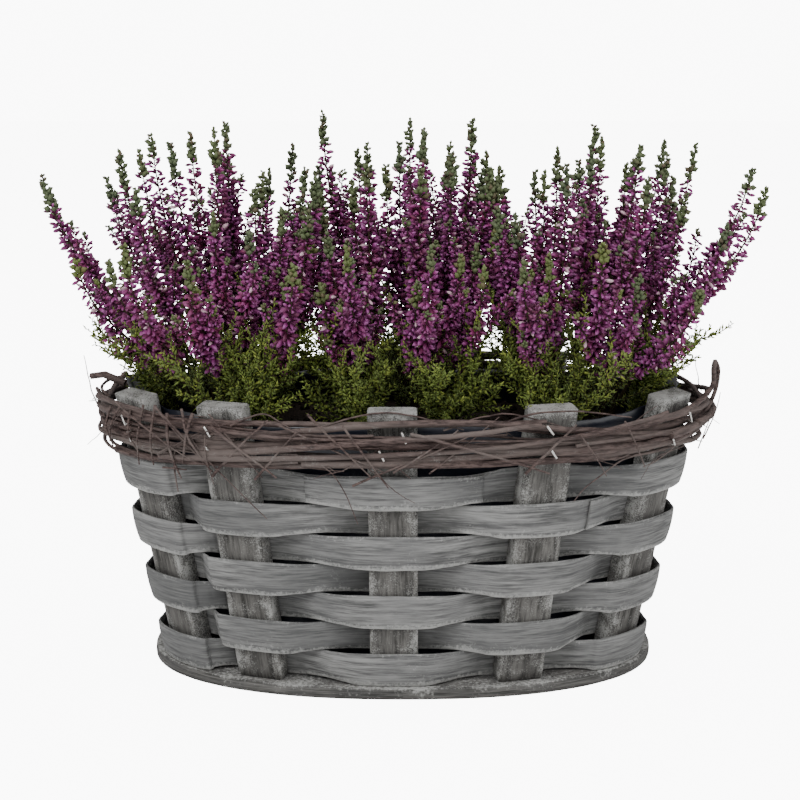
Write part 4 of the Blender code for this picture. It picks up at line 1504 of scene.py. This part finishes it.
# Stops of twigs that end loose in front, as (x, height, way out), and their radii
LOOSE_ENDS = (
    (((-0.108, 0.146, 0.011), (-0.093, 0.129, 0.014), (-0.066, 0.102, 0.016)), 0.0005),
    (((-0.060, 0.138, 0.011), (-0.035, 0.128, 0.014), (-0.022, 0.101, 0.016)), 0.0004),
    (((-0.112, 0.138, 0.012), (-0.112, 0.124, 0.014), (-0.110, 0.112, 0.015)), 0.0007),
    (((-0.118, 0.124, 0.014), (-0.112, 0.125, 0.015), (-0.106, 0.1245, 0.014)), 0.0006),
)
ARCH = ((0.040, 0.148, 0.008), (0.062, 0.157, 0.010), (0.085, 0.158, 0.012), (0.112, 0.152, 0.012))
# First x, last x and height of the twigs that arch over the rim
RIM_ARCS = ((-0.085, -0.055, 0.156), (-0.045, 0.030, 0.1585), (0.020, 0.078, 0.157))
# Stops as (turn from the basket's end, height, way out)
STUB = ((0.18, 0.158, -0.006), (0.12, 0.162, 0.004), (0.06, 0.160, 0.012))
LOOP = (
    (-0.45, 0.150, 0.010),
    (-0.25, 0.158, 0.012),
    (-0.10, 0.165, 0.010),
    (0.02, 0.166, 0.013),
    (0.02, 0.159, 0.016),
    (-0.12, 0.148, 0.013),
    (-0.40, 0.138, 0.012),
)


def twig_run(start, span, low, high, out, wave, steps, phase):
    """Points of a twig laid round the basket from one angle on for a span."""
    points = []
    for index in range(steps + 1):
        share = index / steps
        turn = start + span * share
        z = low + (high - low) * share + wave * math.sin(phase + turn * 3.3)
        points.append(oval(turn, z, out + 0.0009 * math.sin(phase * 2 + turn * 5)))
    return points


def ring_twig(level, waves, phase, radius):
    """A twig all the way round the border, thicker and thinner by turns."""
    turns = [2 * math.pi * index / RING_STEPS for index in range(RING_STEPS + 1)]
    points = [oval(turn, level + RING_WAVE * math.sin(waves * turn + phase), TWIG_OUT) for turn in turns]

    def thick(share):
        return radius * (0.88 + 0.14 * math.sin(phase + 19 * share))

    return {"kind": WOOD, "points": points, "thick": thick}


def curly(start, heading, length, curl, rng):
    """Points of a thin stray twig that wanders off from its start."""
    points = [start]
    aim = heading.normalized()
    for _ in range(CURL_STEPS):
        bend = Vector((rng.uniform(-1, 1), rng.uniform(-1, 1), rng.uniform(-1, 1)))
        aim = (aim + bend * curl).normalized()
        points.append(points[-1] + aim * (length / CURL_STEPS))
    return points


def front_point(x, z, out):
    return oval(turn_at_x(x, z), z, out)


def arc_points(stops, steps=ARC_STEPS):
    """Smooth run of points through given stops."""
    padded = [stops[0], *stops, stops[-1]]
    points = []
    for index in range(1, len(padded) - 2):
        near = padded[index - 1 : index + 3]
        points += [catmull(*near, step / steps) for step in range(steps)]
    return points + [stops[-1]]


def front_twig(stops, radius):
    """Twig through stops given as (x, height, way out) on the front."""
    return wood(arc_points([front_point(*stop) for stop in stops]), radius, 0.5)


def twig_tone(place):
    """How grey and rubbed a twig is, in patches that run along it."""
    return min(1.0, max(0.0, 0.5 + 0.9 * noise.noise(Vector((place.x * 9, place.y * 9, place.z * 130)))))


def stray_twigs():
    """The loose ends that show: hanging ends, the tangle, the cut stub, the loop and the arched twigs."""
    strays = [front_twig(stops, radius) for stops, radius in LOOSE_ENDS]
    tangle = random.Random(TANGLE_DRAW)
    for number in range(TANGLE_TWIGS):
        x = -0.146 + 0.0062 * number + tangle.uniform(-0.002, 0.002)
        top, foot = tangle.uniform(0.148, 0.160), tangle.uniform(0.116, 0.132)
        slant = tangle.uniform(-0.008, 0.030)
        stops = ((x, top, 0.012), (x + slant * 0.4, (top + foot) / 2, 0.0165), (x + slant, foot, 0.015))
        strays.append(front_twig(stops, tangle.uniform(0.0004, 0.0011)))
    for first, last, height in RIM_ARCS:
        stops = ((first, 0.150, 0.010), ((first + last) / 2, height, 0.006), (last, 0.150, 0.010))
        strays.append(front_twig(stops, 0.0006))
    left, right = math.radians(-90), math.radians(90)
    strays.append(wood([oval(left + turn, z, out) for turn, z, out in STUB], 0.0021, 0.05))
    loop = arc_points([oval(right + turn, z, out) for turn, z, out in LOOP], LOOP_STEPS)
    strays.append(wood(loop, 0.0016, 0.2))
    strays.append(front_twig(ARCH, 0.0007))
    return strays


class HEATHER_OT_twigs(bpy.types.Operator):
    """Make the border of twigs: rings, cut twigs, strays and crossing twigs."""

    bl_idname = "heather.twigs"
    bl_label = "Twig border"

    def execute(self, context):
        rng = random.Random(BORDER_DRAW)
        paths = [ring_twig(*ring) for ring in RING_TWIGS]
        for number in range(look("basket_look").loose_twigs):
            radius = rng.choice(LOOSE_RADII)
            layer = LOOSE_INSIDE + radius + rng.choice(LOOSE_LAYERS)
            low, high = rng.uniform(*TWIG_BAND), rng.uniform(*TWIG_BAND)
            span = rng.uniform(0.5, 1.9)
            start, wave = rng.uniform(0, 2 * math.pi), rng.uniform(0.0006, 0.0028)
            run = twig_run(start, span, low, high, layer, wave, RUN_STEPS, number)
            paths.append(wood(run, radius, 0.5, 1.05))
        for _ in range(CURLY_TWIGS):
            turn = rng.uniform(0, 2 * math.pi)
            z = rng.uniform(0.130, 0.150)
            out = normal_at(turn, z)
            along = Vector((-out.y, out.x, 0)) * rng.choice((-1, 1))
            heading = along + out * rng.uniform(-0.04, 0.07) + Vector((0, 0, rng.uniform(-0.7, 0.5)))
            run = curly(oval(turn, z, TWIG_OUT + 0.001), heading, rng.uniform(0.018, 0.05), 0.16, rng)
            paths.append(wood(run, rng.uniform(0.00028, 0.00055), 0.6))
        for number in range(CROSSING_TWIGS):
            low, high = rng.uniform(*CROSS_LOW), rng.uniform(*CROSS_HIGH)
            if number % 2:
                low, high = high, low
            layer = CROSS_OUT + rng.uniform(0.0, 0.0022)
            start, span = rng.uniform(0, 2 * math.pi), rng.uniform(0.10, 0.42)
            run = twig_run(start, span, low, high, layer, 0.0018, CROSS_STEPS, number)
            paths.append(wood(run, rng.uniform(0.0004, 0.0010), 0.5))
        name = "twig_border_bark"
        values = {"Sides": 6, "Crook": 0.0016, "Crook Scale": 70.0, "Material": MATERIALS["bark"]}
        border = grown(name, path_mesh("twig_lines", paths + stray_twigs()), TREES["twigs"], values)
        add_attribute(border, "tone", [twig_tone(vert.co) for vert in border.vertices])
        new_piece(name, border, "twig_bark", "twig_border")
        return {"FINISHED"}


# Staples

# Size of a staple's crown without its length, of its legs, and how far its legs reach in
CROWN_SIZE, LEG_SIZE, LEG_IN = (0.0009, 0.0011), (0.0040, 0.0011, 0.0010), 0.0018
STAPLE_LEVELS, STAPLE_OUT, STAPLE_SLANT = (0.1475, 0.1365), 0.0029, (18, 48)


class HEATHER_OT_staples(bpy.types.Operator):
    """Set two slanted staples in each stake across the twigs."""

    bl_idname = "heather.staples"
    bl_label = "Staples"

    def execute(self, context):
        rng = random.Random(STAPLE_DRAW)
        length = look("basket_look").staple_length
        wire = bmesh.new()
        bmesh.ops.create_cube(wire, size=1.0)
        bmesh.ops.scale(wire, vec=(*CROWN_SIZE, length), verts=wire.verts)
        for end in (-1, 1):
            leg = bmesh.ops.create_cube(wire, size=1.0)["verts"]
            bmesh.ops.scale(wire, vec=LEG_SIZE, verts=leg)
            bmesh.ops.translate(wire, vec=(-LEG_IN, 0, end * (length / 2 - LEG_SIZE[2] / 2)), verts=leg)
        bmesh.ops.bevel(wire, geom=wire.edges[:], offset=0.0002, segments=1, affect="EDGES")
        add_stud(mesh_from(wire, "staple"))
        points, facing = [], []
        for turn in stake_turns():
            for level in STAPLE_LEVELS:
                z = level + rng.uniform(-0.0015, 0.0015)
                aside = turn_at_arc(turn, rng.uniform(-0.006, 0.006), z)
                out = normal_at(turn, z)
                points.append(oval(aside, z, TWIG_OUT + STAPLE_OUT))
                slant = Matrix.Rotation(math.radians(rng.uniform(*STAPLE_SLANT)), 4, out)
                face = Matrix.Rotation(math.atan2(out.y, out.x), 4, "Z")
                facing += (slant @ face).to_euler()[:]
        set_pieces("staples", None, "staple", "wire", points, facing, [1.0] * len(points))
        return {"FINISHED"}


# Liner and soil

FILM_STEPS = 200
# Heights of the film's rings, the last of them its rim
FILM_LEVELS = (0.008, 0.030, 0.060, 0.090, 0.120, 0.130, 0.136, 0.140, 0.143, LINER_RIM)
RIM_WAVE = 0.0018
# Where the film comes loose of the stakes, over what height, and how far it leans and crinkles
LOOSE_FROM, LOOSE_OVER, LOOSE_OUT, CRINKLE = 0.140, 0.017, 0.0016, 0.0016
CRUMBS = 400
CRUMB_SIZES = (0.0009, 0.0013, 0.0019, 0.0028)
CRUMB_MARGIN = 0.003


class HEATHER_OT_liner(bpy.types.Operator):
    """Make the film liner with its crinkled rim."""

    bl_idname = "heather.liner"
    bl_label = "Liner"

    def execute(self, context):
        body = bmesh.new()
        rings = []
        for level in FILM_LEVELS:
            ring = []
            for step in range(FILM_STEPS):
                turn = 2 * math.pi * step / FILM_STEPS
                wave = noise.noise(Vector((math.cos(turn) * 9, math.sin(turn) * 9, 2.0)))
                rim = LINER_TOP + (LINER_RIM - LINER_TOP) * abs(math.sin(turn)) ** 5 + RIM_WAVE * wave
                z = rim if level == LINER_RIM else level
                loose = max(0.0, (z - LOOSE_FROM) / LOOSE_OVER)
                crinkle = noise.noise(Vector((math.cos(turn) * 30, math.sin(turn) * 30, z * 60)))
                out = -LINER_IN + loose * (LOOSE_OUT + CRINKLE * crinkle)
                ring.append(body.verts.new(oval(turn, z, out)))
            rings.append(ring)
        for low, high in zip(rings, rings[1:]):
            for step in range(FILM_STEPS):
                after = (step + 1) % FILM_STEPS
                body.faces.new((low[step], low[after], high[after], high[step]))
        body.faces.new(rings[0][::-1])
        mesh = mesh_from(body, "liner_film")
        mesh.materials.append(MATERIALS["film"])
        piece = new_piece("liner_film", mesh, "liner_film", "liner")
        solid = piece.modifiers.new("thickness", "SOLIDIFY")
        solid.thickness = LINER_THICK
        solid.offset = -1.0
        return {"FINISHED"}


class HEATHER_OT_soil(bpy.types.Operator):
    """Give the soil its finish and strew crumbs over it."""

    bl_idname = "heather.soil"
    bl_label = "Soil"

    def execute(self, context):
        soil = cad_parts["potting_soil"]
        soil.data.materials.clear()
        soil.data.materials.append(MATERIALS["soil"])
        crumb = bmesh.new()
        bmesh.ops.create_icosphere(crumb, subdivisions=1, radius=1.0)
        for vert in crumb.verts:
            vert.co *= 0.8 + 0.5 * noise.noise(vert.co * 1.7)
        add_stud(mesh_from(crumb, "crumb"))
        rng = random.Random(CRUMB_DRAW)
        points, facing, sizes = [], [], []
        half = [size - LINER_IN - CRUMB_MARGIN for size in half_axes(SOIL_TOP)]
        while len(points) < CRUMBS:
            x, y = rng.uniform(-1, 1), rng.uniform(-1, 1)
            if abs(x) ** OVAL_POWER + abs(y) ** OVAL_POWER > 1:
                continue
            size = rng.choice(CRUMB_SIZES)
            points.append((x * half[0], y * half[1], SOIL_TOP + size * 0.25))
            facing += [rng.uniform(0, 6.28) for _ in range(3)]
            sizes.append(size)
        set_pieces("soil_crumbs", "soil", "crumb", "soil", points, facing, sizes)
        return {"FINISHED"}


# Stage

FLOOR_HALF = 6.0
WHITE = (1.0, 1.0, 1.0, 1.0)
AIM = (0, 0, 0.12)
# Name, place, size and share of the key light's power
LIGHTS = (
    ("key", (-0.9, -1.3, 1.7), 1.4, 1.0),
    ("fill", (1.4, -1.0, 1.0), 1.4, 0.4),
    ("top", (0.1, 0.5, 1.9), 1.6, 0.5),
)
SENSOR = 36.0
SKY_GLOW = 0.5


class HEATHER_OT_stage(bpy.types.Operator):
    """Set the floor, the soft light and the camera."""

    bl_idname = "heather.stage"
    bl_label = "Stage"

    def execute(self, context):
        stage = look("stage_look")
        floor = bmesh.new()
        bmesh.ops.create_grid(floor, x_segments=1, y_segments=1, size=FLOOR_HALF)
        mesh = mesh_from(floor, "floor")
        material, tree, shader = new_material("Pale floor", 0.9, 0.1)
        shader.inputs["Base Color"].default_value = (*stage.floor_color, 1.0)
        shader.inputs["Emission Color"].default_value = WHITE
        seen = put(tree, "ShaderNodeLightPath").outputs["Is Camera Ray"]
        tree.links.new(times(tree, seen, stage.white_glow), shader.inputs["Emission Strength"])
        mesh.materials.append(material)
        place_object("floor", mesh)
        world = bpy.data.worlds.new("even sky")
        world.use_nodes = True
        tree = world.node_tree
        sky = tree.nodes["Background"]
        sky.inputs["Color"].default_value = WHITE
        seen = put(tree, "ShaderNodeLightPath").outputs["Is Camera Ray"]
        glow = times(tree, seen, stage.white_glow + SKY_GLOW)
        tree.links.new(plus(tree, glow, stage.sky_strength), sky.inputs["Strength"])
        context.scene.world = world
        for name, place, size, share in LIGHTS:
            lamp = bpy.data.lights.new(name, "AREA")
            lamp.size = size
            lamp.energy = stage.key_power * share
            light = place_object(name, lamp)
            light.location = place
            light.rotation_euler = (Vector(AIM) - light.location).to_track_quat("-Z", "Y").to_euler()
        view = bpy.data.cameras.new("camera")
        view.lens = stage.lens
        view.sensor_width = SENSOR
        camera = place_object("camera", view)
        camera.location = stage.camera_place
        camera.rotation_euler = (math.pi / 2 - stage.camera_pitch, 0, 0)
        context.scene.camera = camera
        return {"FINISHED"}


class HEATHER_PT_panel(bpy.types.Panel):
    """Lists the pieces and their settings."""

    bl_idname = "HEATHER_PT_panel"
    bl_label = "Potted heather"
    bl_space_type = "VIEW_3D"
    bl_region_type = "UI"
    bl_category = "Heather"

    def draw(self, context):
        for operator in OPERATORS:
            self.layout.operator(operator.bl_idname)
        for name in ("basket_look", "heather_look", "stage_look"):
            group = getattr(context.scene, name)
            for prop in group.bl_rna.properties:
                if prop.identifier not in {"rna_type", "name"}:
                    self.layout.prop(group, prop.identifier)


OPERATORS = (
    HEATHER_OT_stage,
    HEATHER_OT_board,
    HEATHER_OT_stakes,
    HEATHER_OT_weavers,
    HEATHER_OT_laps,
    HEATHER_OT_twigs,
    HEATHER_OT_staples,
    HEATHER_OT_liner,
    HEATHER_OT_soil,
    HEATHER_OT_sprays,
    HEATHER_OT_tufts,
)
SETTINGS = (BasketLook, HeatherLook, StageLook)


def register():
    for cls in SETTINGS + OPERATORS + (HEATHER_PT_panel,):
        bpy.utils.register_class(cls)
    bpy.types.Scene.basket_look = PointerProperty(type=BasketLook)
    bpy.types.Scene.heather_look = PointerProperty(type=HeatherLook)
    bpy.types.Scene.stage_look = PointerProperty(type=StageLook)


def unregister():
    del bpy.types.Scene.stage_look
    del bpy.types.Scene.heather_look
    del bpy.types.Scene.basket_look
    for cls in reversed(SETTINGS + OPERATORS + (HEATHER_PT_panel,)):
        bpy.utils.unregister_class(cls)


def main():
    register()
    make_materials()
    TREES.update(heather=heather_tree(), twigs=twig_tree(), set=scatter_tree())
    make_studs()
    for operator in OPERATORS:
        group, name = operator.bl_idname.split(".")
        getattr(getattr(bpy.ops, group), name)()
    for stud in STUDS.values():
        bpy.data.objects.remove(stud)


if __name__ == "__main__":
    main()
